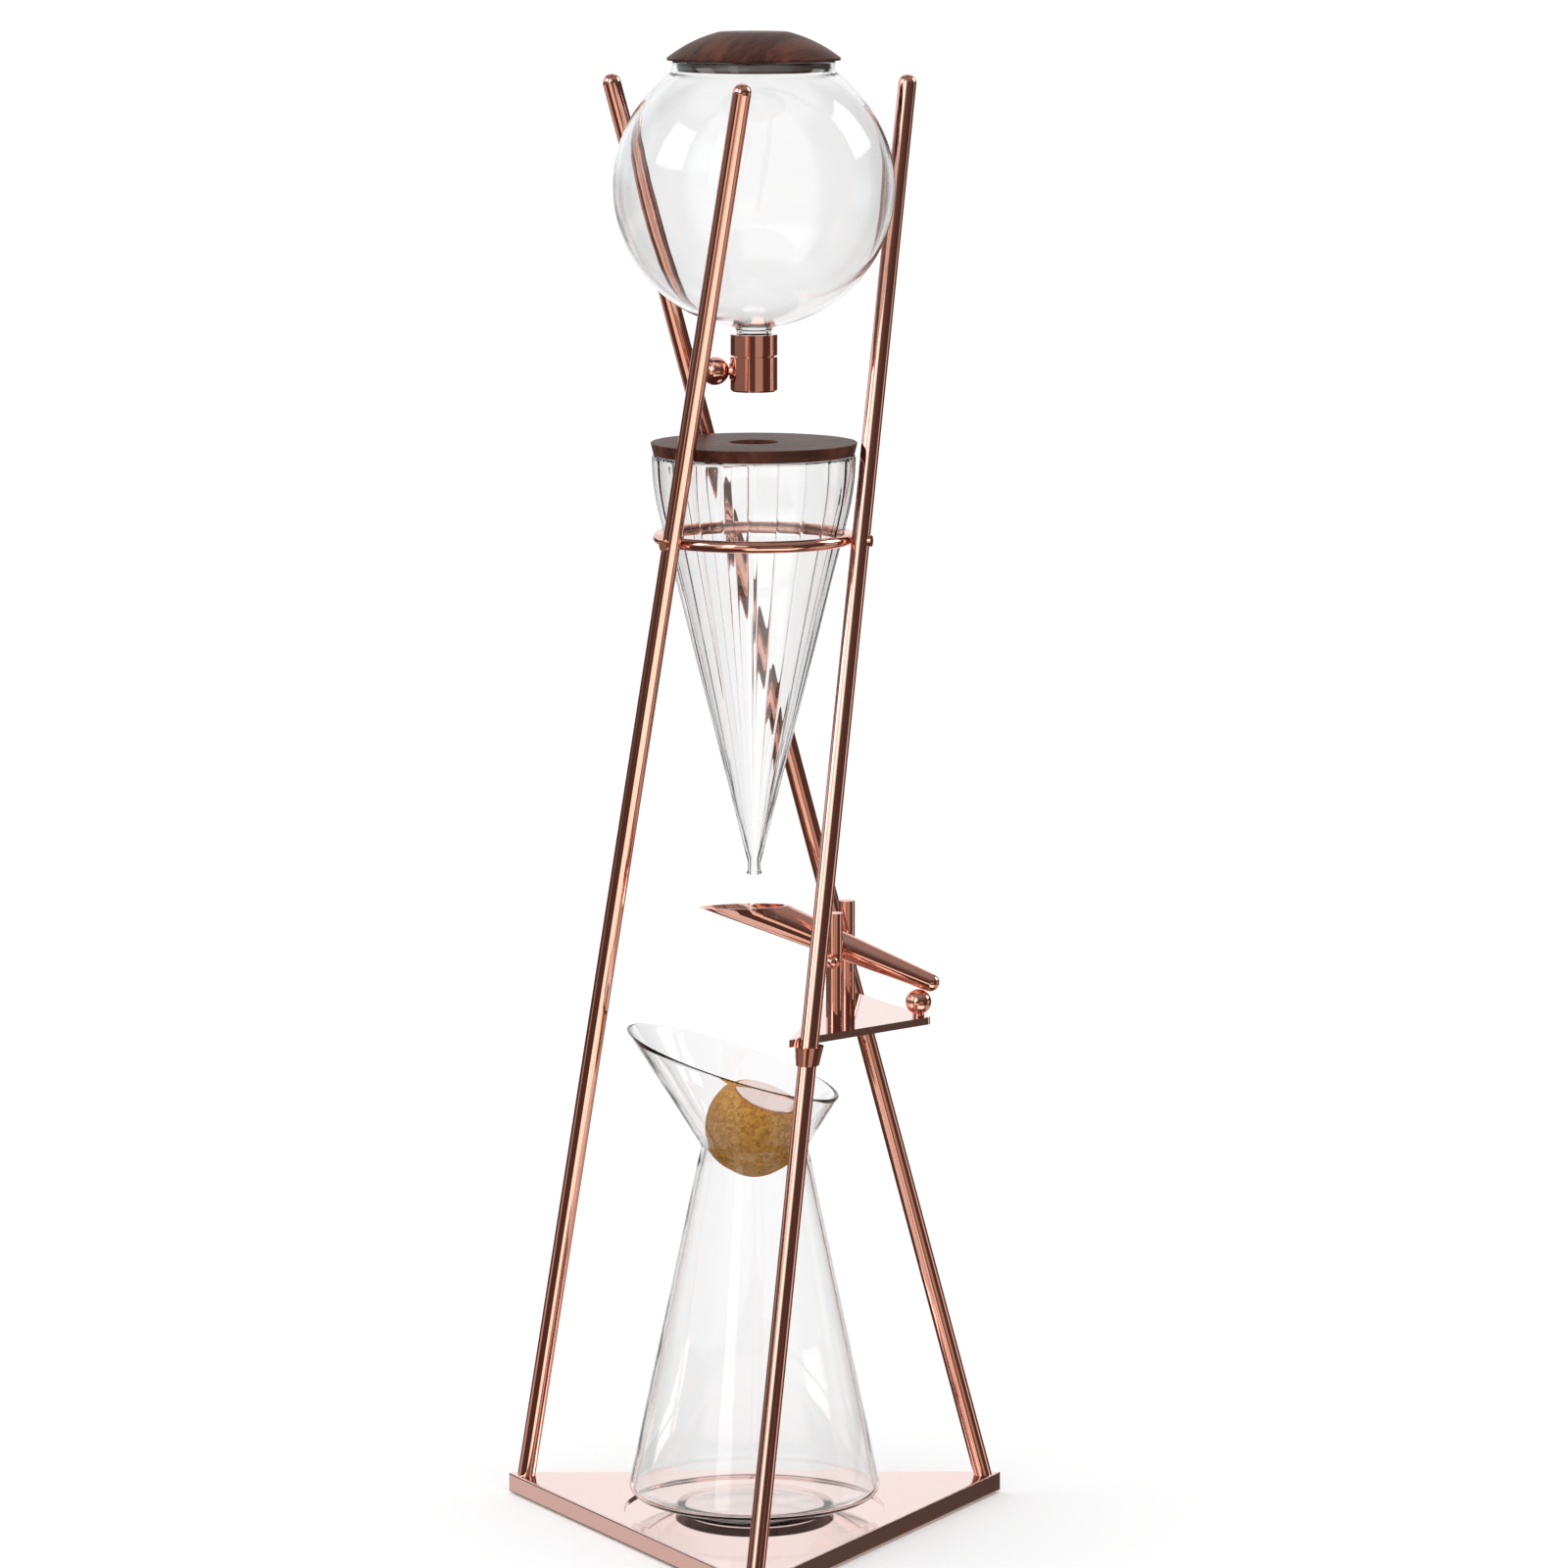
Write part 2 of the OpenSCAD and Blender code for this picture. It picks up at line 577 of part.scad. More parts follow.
module tipping_tube() color(copper) difference() {
    tube_frame() difference() {
        tube_cone(0, -tube_front, tube_back);
        tube_cone(tube_wall, -tube_front - over, tube_back + over);
        translate([0, 0, -tube_over_pin]) rotate([90, 0, 0])
            cylinder(d = bush_d + 2 * fit, h = far / 4, center = true);
    }
    shelf_frame() translate([mouth_heel, 0, mouth_z]) rotate([0, -mouth_slope, 0])
        translate([-far, -far / 2, 0]) cube([2 * far, far, far]);
}
module tube_end_plug() color(copper) tube_frame() {
    tube_cone(tube_wall + fit, tube_back - end_plug_l, tube_back + e);
    translate([tube_back, 0, 0]) intersection() {
        sphere(r = tube_out(tube_back));
        translate([0, -far / 2, -far / 2]) cube(far);
    }
}
module pivot_bush() color(copper) shelf_frame() translate([post_reach, 0, pin_z]) rotate([90, 0, 0])
    difference() {
        cylinder(d = bush_d, h = bush_l, center = true);
        cylinder(d = pin_d + 2 * fit, h = far / 4, center = true);
    }

// ---- globe, cap and valve ----

lip_root = 12;       // length of the lip's ring, down to inside the globe's skin
neck_root = 4;       // how far the neck's ring runs into the globe's skin
module water_globe() color(glass) translate([0, 0, globe_z]) difference() {
    union() {
        sphere(r = globe_r);
        translate([0, 0, lip_rise - lip_root]) cylinder(r = lip_r, h = lip_root);
        translate([0, 0, neck_end - globe_z])
            cylinder(d = neck_d, h = globe_z - neck_end - globe_r + neck_root);
    }
    sphere(r = globe_r - globe_wall);
    cylinder(r = lip_r - lip_wall, h = far);
    translate([0, 0, -far]) cylinder(d = neck_d - 2 * neck_wall, h = far);
}

module globe_cap() color(walnut) translate([0, 0, cap_z]) intersection() {
    translate([0, 0, cap_ball_low]) sphere(r = cap_ball_r, $fn = 180);
    cylinder(r = cap_r, h = cap_h);
}
plug_inset = 0.6;    // how far the cap's plug stays in from its seal ring's skin
module cap_plug() color(walnut) translate([0, 0, cap_z - cap_plug_h]) difference() {
    cylinder(r = cap_seal_r - plug_inset, h = cap_plug_h);
    translate([0, 0, cap_plug_h / 2 - cap_seal_h / 2]) difference() {
        cylinder(r = far, h = cap_seal_h);
        cylinder(r = cap_seal_r - cap_seal_w, h = far, center = true);
    }
}
module cap_seal() color(silicone) translate([0, 0, cap_z - cap_plug_h / 2 - cap_seal_h / 2 + fit])
    difference() {
        cylinder(r = cap_seal_r, h = cap_seal_h - 2 * fit);
        translate([0, 0, -e]) cylinder(r = cap_seal_r - cap_seal_w + fit, h = far);
    }

module neck_gasket() color(silicone) translate([0, 0, neck_end - gasket_t]) difference() {
    cylinder(d = neck_d, h = gasket_t);
    translate([0, 0, -e]) cylinder(d = neck_d - 2 * neck_wall, h = far);
}
module neck_ring_seal() color(silicone) translate([0, 0, ring_seal_z - ring_seal_h + fit]) difference() {
    cylinder(d = neck_d + 2 * ring_seal_w, h = ring_seal_h - 2 * fit);
    translate([0, 0, -e]) cylinder(d = neck_d + 2 * fit, h = far);
}
module valve_nut() color(copper) translate([0, 0, valve_top - nut_h]) difference() {
    cylinder(r = valve_r, h = nut_h);
    translate([0, 0, -e]) cylinder(d = neck_d + 2 * neck_gap, h = far);
    translate([0, 0, -e]) cylinder(d = boss_d + 2 * fit, h = nut_h - nut_lip + e);
    translate([0, 0, nut_h - ring_seal_drop - ring_seal_h])
        cylinder(d = neck_d + 2 * ring_seal_w + 4 * fit, h = ring_seal_h);
}
module valve_body() color(copper) difference() {
    union() {
        translate([0, 0, valve_low]) cylinder(r1 = valve_r - body_bevel, r2 = valve_r, h = body_bevel + e);
        translate([0, 0, valve_low + body_bevel])
            cylinder(r = valve_r, h = body_top - valve_low - body_bevel);
        translate([0, 0, body_top - e]) cylinder(d = boss_d, h = groove_w + boss_h + e);
    }
    translate([0, 0, valve_low - e]) cylinder(d = drip_bore, h = far);
    translate([0, 0, neck_end - gasket_t - funnel_in_h])
        cylinder(d1 = drip_bore, d2 = neck_d - 2 * neck_wall, h = funnel_in_h + e);
    translate([0, 0, valve_low - e]) cylinder(d1 = drip_cone_d, d2 = drip_bore, h = drip_cone_h);
    translate([plug_back + fit, 0, plug_z]) rotate([0, -90, 0]) cylinder(d = plug_d + 2 * fit, h = far);
    translate([-valve_r + gland_t, 0, plug_z]) rotate([0, -90, 0]) cylinder(d = gland_d + 2 * fit, h = far);
}
module gland_nut() color(copper) translate([-valve_r + gland_t - fit, 0, plug_z]) rotate([0, -90, 0])
    difference() {
        cylinder(d1 = gland_d, d2 = gland_d - 2 * gland_bevel, h = gland_t + gland_proud);
        translate([0, 0, -e]) cylinder(d = stem_d + 2 * fit, h = far);
    }

plug_front = valve_r - gland_t - 2 * fit;
seal_w = 1.4;
seal_deep = 0.8;
seal_in = 1.2;       // how far a seal's middle stays in from the plug's end
plug_seal_x = [seal_in + gland_bevel - plug_front, plug_back - seal_in];
module plug_groove(x, deep) translate([x, 0, plug_z]) rotate([0, 90, 0]) difference() {
    cylinder(r = far / 10, h = seal_w, center = true);
    cylinder(r = plug_r - deep, h = far, center = true);
}
module valve_plug() color(copper) difference() {
    union() {
        translate([plug_back, 0, plug_z]) rotate([0, -90, 0]) cylinder(r = plug_r, h = plug_back + plug_front);
        translate([0, 0, plug_z]) rotate([0, -90, 0]) cylinder(d = stem_d, h = knob_reach + stem_in);
    }
    translate([0, 0, plug_z]) rotate([90, 0, 0]) cylinder(d = drip_bore, h = far, center = true);
    for (x = plug_seal_x) plug_groove(x, seal_deep);
}
module plug_seals() color(rubber) for (x = plug_seal_x) translate([x, 0, plug_z]) rotate([0, 90, 0])
    difference() {
        cylinder(r = plug_r - fit / 2, h = seal_w - 2 * fit, center = true);
        cylinder(r = plug_r - seal_deep + fit, h = far, center = true);
    }
knob_off = 0.6;      // gap between that flat and the valve's body
module valve_knob() color(copper) difference() {
    translate([-knob_reach, 0, plug_z]) sphere(d = knob_d);
    translate([-knob_reach - stem_in - fit, 0, plug_z]) rotate([0, 90, 0]) cylinder(d = stem_d + 2 * fit, h = far);
    // a flat that keeps the ball off the gland nut
    translate([-valve_r - knob_off + far / 2, 0, plug_z]) cube([far, far, far], center = true);
}

// ---- funnel ----

shoulder_steps = 8;
tip_wall = funnel_wall - 0.2;
// Skin of the funnel, from the tip up: the offset is measured square to the cone.
function funnel_skin(inset) = [
    for (k = [0:shoulder_steps]) let (a = funnel_angle * (shoulder_steps - k) / shoulder_steps)
        [funnel_r - shoulder_r * (1 - cos(a)) - inset * cos(a),
         tip_l + cone_h + shoulder_h - shoulder_r * sin(a) + inset * sin(a)]];
module funnel_glass() color(glass) translate([0, 0, funnel_z]) difference() {
    rotate_extrude() polygon(concat([[0, 0], [cone_low_r, 0], [cone_low_r, tip_l]],
        funnel_skin(0), [[0, funnel_h]]));
    rotate_extrude() polygon(concat([[0, -over], [cone_low_r - tip_wall, -over],
        [cone_low_r - tip_wall, tip_l + funnel_wall * sin(funnel_angle)]],
        funnel_skin(funnel_wall),
        [[funnel_r - funnel_wall, funnel_h + over], [0, funnel_h + over]]));
}
module funnel_lid() color(walnut) translate([0, 0, lid_z]) difference() {
    cylinder(r1 = lid_r - lid_taper, r2 = lid_r, h = lid_t);
    translate([0, 0, -e]) cylinder(d = lid_hole_d, h = far);
}

// ---- carafe and stopper ----

function heel(r) = [
    for (k = [0:heel_steps]) let (a = -90 + (90 + body_angle) * k / heel_steps)
        [heel_c + r * cos(a), heel_r + r * sin(a)]];
module carafe() color(glass) translate([0, 0, carafe_z]) difference() {
    rotate_extrude() polygon(concat([[0, 0]], heel(heel_r),
        [[waist_r, waist_h], [waist_r + flare_h * flare_tan, waist_h + flare_h], [0, waist_h + flare_h]]));
    rotate_extrude() polygon(concat([[0, carafe_floor]],
        [for (p = heel(heel_r - carafe_wall)) [p.x, max(p.y, carafe_floor)]],
        [[edge_r, waist_h + edge_rise],
         [waist_r - flare_across + (flare_h + over) * flare_tan, waist_h + flare_h + over],
         [0, waist_h + flare_h + over]]));
    translate([0, 0, waist_h + rim_rise]) rotate([0, rim_tilt, 0]) translate([-far, -far, 0]) cube(2 * far);
}

module cork_frame() translate([0, 0, cork_z]) rotate([0, 0, face_turn]) rotate([0, face_lean, 0]) children();
module cork_ball() color(cork_tan) cork_frame() difference() {
    sphere(r = cork_r);
    translate([-far, -far, face_reach - disc_proud]) cube(2 * far);
    translate([0, 0, face_reach - disc_t - fit]) cylinder(d = disc_d + 2 * fit, h = far);
}
module stopper_disc() color(pale_copper) cork_frame()
    translate([0, 0, face_reach - disc_t]) cylinder(d = disc_d, h = disc_t);

base_plate();
foot_pads();
leg_screws();
leg_rod_front();
leg_rod_right();
leg_rod_left();
funnel_ring();
ring_screws();
shelf_plate();
shelf_collars();
collar_screws();
front_post();
rear_post();
post_screws();
pivot_pin();
pin_washers();
pin_nuts();
stop_ball();
tipping_tube();
tube_end_plug();
pivot_bush();
water_globe();
neck_gasket();
neck_ring_seal();
valve_nut();
valve_body();
gland_nut();
valve_plug();
plug_seals();
valve_knob();
globe_cap();
cap_plug();
cap_seal();
funnel_glass();
funnel_lid();
carafe();
cork_ball();
stopper_disc();
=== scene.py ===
# %% [markdown]
# # Cold drip coffee tower
# Three copper rods lean and twist like a tripod on a triangular plate. They cradle a glass globe of
# cold water, a ring holds a fluted glass funnel, and a tipping tube carries the drops to a carafe.
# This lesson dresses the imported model: the metal parts keep their exact shapes and get finishes, and
# the glass, wood, cork and plates are rebuilt as smooth surfaces with soft edges.

# %% Load the fixed frame
import math

import bpy
import numpy as np
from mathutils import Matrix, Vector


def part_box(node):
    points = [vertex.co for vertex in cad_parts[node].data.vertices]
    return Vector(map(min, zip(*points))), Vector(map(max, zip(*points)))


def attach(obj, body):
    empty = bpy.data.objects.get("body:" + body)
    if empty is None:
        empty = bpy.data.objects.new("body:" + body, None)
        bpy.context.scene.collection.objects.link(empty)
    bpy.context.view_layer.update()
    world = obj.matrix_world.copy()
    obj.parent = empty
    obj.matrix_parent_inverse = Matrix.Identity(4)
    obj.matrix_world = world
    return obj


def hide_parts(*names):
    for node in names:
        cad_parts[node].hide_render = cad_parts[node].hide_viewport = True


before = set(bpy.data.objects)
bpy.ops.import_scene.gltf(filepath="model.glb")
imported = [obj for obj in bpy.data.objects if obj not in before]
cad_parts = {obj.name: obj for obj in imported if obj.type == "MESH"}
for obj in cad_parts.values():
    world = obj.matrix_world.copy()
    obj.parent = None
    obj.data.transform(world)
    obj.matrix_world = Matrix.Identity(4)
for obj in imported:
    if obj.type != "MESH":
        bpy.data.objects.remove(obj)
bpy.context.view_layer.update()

MM = 0.001

# %% [markdown]
# ## Surfaces from grids
# Every new piece here is a surface worked out on a grid: the columns go round an axis and the rows
# follow an outline. One function turns such a grid into a mesh, so seams and poles are always closed.

# %% The grid becomes a mesh


def surface(name, rows, ring=False, sharp=None):
    """Mesh from a grid of points, rows x columns x 3, in millimetres.

    Each cell of the grid is one face. The last column joins the first. With ring, the last row joins
    the first too. A row whose points all fall together becomes one pole with triangles round it.
    """
    rows = np.asarray(rows, float)
    n_rows, n_columns = rows.shape[:2]
    index = np.arange(n_rows * n_columns).reshape(n_rows, n_columns)
    pole = np.ptp(rows, axis=1).max(axis=1) < 1e-6
    index[pole] = index[pole, :1]
    low, high = (index, np.roll(index, -1, 0)) if ring else (index[:-1], index[1:])
    cells = np.stack([low, np.roll(low, -1, 1), np.roll(high, -1, 1), high], -1).reshape(-1, 4)
    from_pole, to_pole = cells[:, 0] == cells[:, 1], cells[:, 2] == cells[:, 3]
    used, flat = np.unique(cells, return_inverse=True)
    cells = flat.reshape(-1, 4)
    faces = (cells[~from_pole & ~to_pole].tolist() + cells[from_pole & ~to_pole][:, [0, 2, 3]].tolist()
             + cells[to_pole & ~from_pole][:, [0, 1, 2]].tolist())
    mesh = bpy.data.meshes.new(name)
    mesh.from_pydata((rows.reshape(-1, 3)[used] * MM).tolist(), [], faces)
    mesh.polygons.foreach_set("use_smooth", np.ones(len(faces), bool))
    if sharp is not None:
        mesh.set_sharp_from_angle(angle=math.radians(sharp))
    mesh.update()
    piece = bpy.data.objects.new(name, mesh)
    bpy.context.scene.collection.objects.link(piece)
    print(f"{name}: {len(mesh.vertices)} points, {len(faces)} faces")
    return piece


# %% [markdown]
# Real edges are never knife sharp: glass is fire-polished, wood is sanded and metal is broken with a
# file. An outline is therefore given as corners with a radius each, and each corner becomes an arc.
# A point is held close to both ends of every arc, so the shading of the long straight parts stays true.

# %% Outlines with rounded corners


def rounded(corners, closed=False, steps=6):
    """Points of an outline through corners (r, z, radius).

    Each corner with a radius is replaced by the circle arc that touches both of its sides. The arc's
    points are the two touching directions mixed by sines, which keeps them on the circle.
    """
    points = np.array([c[:2] for c in corners], float)
    out = []
    for k, (r, z, radius) in enumerate(corners):
        end = not closed and k in (0, len(corners) - 1)
        if end or radius == 0:
            out.append([[r, z]])
            continue
        corner = points[k]
        before, after = points[k - 1] - corner, points[(k + 1) % len(points)] - corner
        room = min(np.linalg.norm(before), np.linalg.norm(after)) / 2
        before, after = before / np.linalg.norm(before), after / np.linalg.norm(after)
        half = math.acos(float(np.clip(before @ after, -1, 1))) / 2
        radius = min(radius, room * 0.9 * math.tan(half))
        reach = radius / math.tan(half)
        middle = corner + (before + after) / np.linalg.norm(before + after) * radius / math.sin(half)
        start, stop = corner + reach * before - middle, corner + reach * after - middle
        sweep = math.pi - 2 * half
        t = np.linspace(0, 1, steps + 1)[:, None]
        arc = middle + (np.sin((1 - t) * sweep) * start + np.sin(t * sweep) * stop) / math.sin(sweep)
        hold = min(0.4 * radius, 0.4 * (room - reach) + 1e-4)
        out.append(np.vstack([arc[0] + hold * before, arc, arc[-1] + hold * after]))
    return np.vstack(out)


def turned(outline, columns=128):
    """Grid of a turned piece: each outline point (r, z) goes round the axis as (r cos a, r sin a, z).

    columns is a count of even steps, or the angles a themselves.
    """
    if isinstance(columns, int):
        columns = np.linspace(0, 2 * math.pi, columns, endpoint=False)
    angle, r, z = columns[None, :], outline[:, :1], outline[:, 1:2]
    return np.stack([r * np.cos(angle), r * np.sin(angle), z + 0 * angle], -1)


# %% [markdown]
# ## Sizes that the pieces share
# These are the tower's own sizes, in millimetres, with the base plate's underside at zero. Where a
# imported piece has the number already, it is measured on the frame, so both always agree.

# %% Shared sizes


def low_high(node):
    """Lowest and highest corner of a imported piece, in millimetres."""
    low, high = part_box(node)
    return np.array(low) / MM, np.array(high) / MM


deck = low_high("base_plate")[1][2]
globe_low, globe_high = low_high("water_globe")
globe_r = globe_high[0]
funnel_low, funnel_high = low_high("funnel_glass")
lid_low, lid_high = low_high("funnel_lid")
cap_low, cap_high = low_high("globe_cap")
carafe_base = low_high("carafe")[0][2]
print("deck", deck, "globe radius", round(globe_r, 2),
      "funnel height", round(funnel_high[2] - funnel_low[2], 1))

# %% [markdown]
# ## Water globe
# The globe is blown glass with a 2.4 mm wall. Its mouth has an upright lip, and below it flows into
# the neck with a soft fillet. The outline runs up the outside, over the lip and down the inside, and
# joins itself, so the wall is one closed skin.

# %% Water globe
GLOBE_WALL, LIP_R, NECK_R, NECK_WALL, LIP_RISE = 2.4, 41.0, 8.7, 2.2, 63.0
globe_z = globe_high[2] - LIP_RISE


def ball_arc(radius, from_r, to_r, steps):
    """Points (r, z) on a ball of that radius round the globe's middle, between two radii, going up.

    A negative radius means that the point lies on the lower half. The angle grows evenly.
    """
    start = -math.pi / 2 + math.asin(abs(from_r) / radius)
    stop = math.pi / 2 - math.asin(to_r / radius)
    a = np.linspace(start, stop, steps)[:, None]
    return np.hstack([radius * np.cos(a), globe_z + radius * np.sin(a)])


def fillet_to_neck(ball_r, neck_r, radius, side, steps=10):
    """Arc that touches a ball and an upright neck under it.

    Outside the skin its middle lies radius away from the ball, and radius to the side of the neck.
    """
    middle_r = neck_r + side * radius
    middle_z = globe_z - math.sqrt((ball_r + side * radius) ** 2 - middle_r ** 2)
    to_ball = math.atan2(globe_z - middle_z, -middle_r)
    to_neck = math.pi if side > 0 else 0.0
    if side < 0:
        to_ball -= math.pi
    a = np.linspace(to_neck, to_ball, steps)[:, None]
    return np.hstack([middle_r + radius * np.cos(a), middle_z + radius * np.sin(a)]), middle_z


outer_fillet, outer_fillet_z = fillet_to_neck(globe_r, NECK_R, 3.2, 1)
neck_low = globe_low[2]
skin = ball_arc(globe_r, float(outer_fillet[-1, 0]), LIP_R, 72)
inner_r = globe_r - GLOBE_WALL
bore = NECK_R - NECK_WALL
lip = rounded([(LIP_R, skin[-1, 1], 0), (LIP_R, globe_high[2], 1.1),
               (LIP_R - GLOBE_WALL, globe_high[2], 1.1),
               (LIP_R - GLOBE_WALL, globe_z + math.sqrt(inner_r ** 2 - (LIP_R - GLOBE_WALL) ** 2), 0)])
inside = ball_arc(inner_r, bore + 1.5, LIP_R - GLOBE_WALL, 72)[::-1]
foot_ring = rounded([(bore, neck_low + 4, 0), (bore, neck_low, 0.6), (NECK_R, neck_low, 0.6),
                     (NECK_R, outer_fillet_z - 1, 0)])
globe_outline = np.vstack([foot_ring, outer_fillet, skin[1:], lip[1:], inside[1:],
                           [[bore + 0.3, inside[-1, 1] - 0.7], [bore, inside[-1, 1] - 1.8]]])
globe = surface("globe_glass", turned(globe_outline, 160), ring=True)
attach(globe, "globe")
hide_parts("water_globe")

# %% [markdown]
# ## Fluted funnel
# The funnel is pressed glass: 22 shallow flutes run from the rim to the tip. Each flute is a lobe, and
# two lobes meet in a narrow groove, which the eye reads as a thin grey line. A falling exponential of
# a sine without its sign has that form: a sharp valley between wide tops. Only the outer skin is
# fluted and the inside is smooth, so what stands behind the funnel looks broken at each groove. The
# lobes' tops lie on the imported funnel's skin, so the funnel still rests on its ring.

# %% Fluted funnel
FUNNEL_WALL, FUNNEL_ANGLE, SHOULDER_R = 2.0, 14.1, 125.0
TIP_R, TIP_END_R, TIP_BORE = 3.3, 3.8, 2.0
FLUTES, FLUTE_DEPTH, GROOVE_WIDTH, FIRST_GROOVE = 22, 0.5, 0.13, 267.5
funnel_r, funnel_base, funnel_rim = funnel_high[0], funnel_low[2], funnel_high[2]


def funnel_line(inset, steps=18):
    """Outline of the funnel's wall from the tip tube to the rim, moved in by inset square to itself.

    The cone runs straight, then a wide arc turns it upright at the rim.
    """
    a = np.radians(FUNNEL_ANGLE) * np.linspace(1, 0, steps)
    arc_r = funnel_r - SHOULDER_R * (1 - np.cos(a)) - inset * np.cos(a)
    arc_z = funnel_rim - SHOULDER_R * np.sin(a) + inset * np.sin(a)
    low_r = TIP_R - inset * 0.75
    low_z = arc_z[0] - (arc_r[0] - low_r) / math.tan(math.radians(FUNNEL_ANGLE))
    t = np.linspace(0, 1, 26)[:, None]
    cone = np.hstack([low_r + (arc_r[0] - low_r) * t, low_z + (arc_z[0] - low_z) * t])
    return np.vstack([cone, np.stack([arc_r, arc_z], -1)[1:]])


def fluted(grid):
    """Pulls a turned grid in towards its axis where two flutes meet.

    At angle a the radius loses depth exp(-|sin(n a / 2)| / width), for n flutes. The depth grows from
    none at the tip tube to its full value at the rim, in step with the radius.
    """
    r = np.hypot(grid[..., 0], grid[..., 1])
    a = np.arctan2(grid[..., 1], grid[..., 0]) - math.radians(FIRST_GROOVE)
    share = np.clip((r - TIP_END_R) / (funnel_r - TIP_END_R), 0, 1)
    pull = FLUTE_DEPTH * share * np.exp(-np.abs(np.sin(FLUTES / 2 * a)) / GROOVE_WIDTH)
    return grid * np.stack([1 - pull / r, 1 - pull / r, np.ones_like(r)], -1)


t = np.linspace(0, 1, 22, endpoint=False)
across = t - np.sin(2 * math.pi * t) / (2 * math.pi) * 0.85
flute = (np.arange(FLUTES)[:, None] + across).ravel()
flute_columns = math.radians(FIRST_GROOVE) + 2 * math.pi * flute / FLUTES
outer, inner = funnel_line(0), funnel_line(FUNNEL_WALL)
tip = rounded([(inner[0, 0], inner[0, 1] - 0.5, 0), (TIP_BORE, funnel_base, 0.5),
               (TIP_END_R, funnel_base, 0.6), (TIP_END_R, funnel_base + 0.9, 0.5),
               (TIP_R, funnel_base + 2.2, 0.8), (TIP_R, outer[0, 1] - 0.6, 0)])
rim = [[funnel_r - 0.1, funnel_rim - 0.25], [funnel_r - 0.6, funnel_rim]]
rim_in = [[funnel_r - FUNNEL_WALL + 0.6, funnel_rim], [funnel_r - FUNNEL_WALL + 0.1, funnel_rim - 0.25]]
funnel_grid = np.concatenate([fluted(turned(np.vstack([tip, outer[:-1], rim]), flute_columns)),
                              turned(np.vstack([rim_in, inner[::-1][1:]]), flute_columns)])
funnel = surface("funnel_glass_fluted", funnel_grid, ring=True)
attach(funnel, "funnel")
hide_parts("funnel_glass")

# %% [markdown]
# ## Carafe
# The carafe is one glass skin: a small foot, an underside that rises to a tight heel, a long cone up
# to a narrow waist, where the wall is thickest, and a flared mouth that is cut at a slant. The packed
# carafe has a rounder heel; here the heel is the tight one, about 3 mm away from it. Round the
# slanted mouth every column of the grid has its own height: the point where the flare's line meets
# the tilted plane. The flare's wall thins towards the rim, as blown glass does, and the rim itself is
# rounded by a small half ring.

# %% Carafe
WALL, BODY_WALL, RIM_WALL, FLOOR, WAIST_R, WAIST_H = 2.8, 2.1, 1.6, 4.0, 27.3, 192.3
HEEL_R, WIDEST_H, THICK_END = 5.0, 15.0, 14.0
BODY, FLARE, RIM_TILT, FOOT_ANGLE = (math.radians(v) for v in (11.9, 32.1, 17.8, 22.0))
RIM_RISE = 39.7
heel_c = (WAIST_R + (WAIST_H - WIDEST_H - HEEL_R * math.sin(BODY)) * math.tan(BODY)
          - HEEL_R * math.cos(BODY))


def heel_line(inset, low):
    """Outline from the foot's edge at height low up to the straight cone, moved in by inset.

    The underside rises at the foot's angle and touches the heel's arc, which touches the cone.
    """
    radius = HEEL_R - inset
    foot_r = (heel_c + radius * math.sin(FOOT_ANGLE)
              - (WIDEST_H - radius * math.cos(FOOT_ANGLE) - low) / math.tan(FOOT_ANGLE))
    a = np.linspace(FOOT_ANGLE - math.pi / 2, BODY, 14)[:, None]
    line = np.vstack([[[foot_r, low]],
                      np.hstack([heel_c + radius * np.cos(a), WIDEST_H + radius * np.sin(a)])])
    return line + [0, carafe_base]


def flare_rows(radius, height, spread, share, angle):
    """Rows of a flared cone between its waist and the slanted rim, where spread is the flare's tangent.

    A point at height h over the waist has radius r + h tan(flare). It meets the tilted plane where
    h = (rise - slope r cos a) / (1 + slope tan(flare) cos a), and a row lies at its share of that h.
    """
    slope = math.tan(RIM_TILT)
    rise = carafe_base + WAIST_H + RIM_RISE - height
    top = (rise - slope * radius * np.cos(angle)) / (1 + slope * spread * np.cos(angle))
    h = share[:, None] * top[None, :]
    r = radius + h * spread
    return np.stack([r * np.cos(angle), r * np.sin(angle), height + h], -1)


columns = 192
angle = np.linspace(0, 2 * math.pi, columns, endpoint=False)
wall_across, flare_across = WALL / math.cos(BODY), WALL / math.cos(FLARE)
edge_rise = (flare_across - wall_across) / (math.tan(FLARE) + math.tan(BODY))
edge_r = WAIST_R - wall_across - edge_rise * math.tan(BODY)
waist_z = carafe_base + WAIST_H
heel_out, heel_in = heel_line(0, 0), heel_line(BODY_WALL, FLOOR)
foot = rounded([(0, carafe_base, 0), (*heel_out[0], 1.5), (*heel_out[1], 0)])
well = rounded([(0, carafe_base + FLOOR, 0), (*heel_in[0], 5), (*heel_in[1], 0)])
outside = np.vstack([foot[:-1], heel_out[1:], [[WAIST_R + 8 * math.tan(BODY), waist_z - 8]],
                     [[WAIST_R + 0.5 * math.tan(BODY), waist_z - 0.5]]])
thick_end = [WAIST_R + THICK_END * math.tan(BODY) - BODY_WALL / math.cos(BODY), waist_z - THICK_END]
inside_low = np.vstack([well[:-1], heel_in[1:], [thick_end],
                        [[edge_r + 0.8 * math.tan(BODY), waist_z + edge_rise - 0.8]]])
share = np.concatenate([[0.02], np.linspace(0.1, 1, 20)])
out_flare = flare_rows(WAIST_R, waist_z, math.tan(FLARE), share, angle)
thinning = (WALL - RIM_WALL) / math.cos(FLARE) / RIM_RISE
in_flare = flare_rows(edge_r, waist_z + edge_rise, math.tan(FLARE) + thinning, share, angle)
a_out, a_in = out_flare[-1], in_flare[-1]
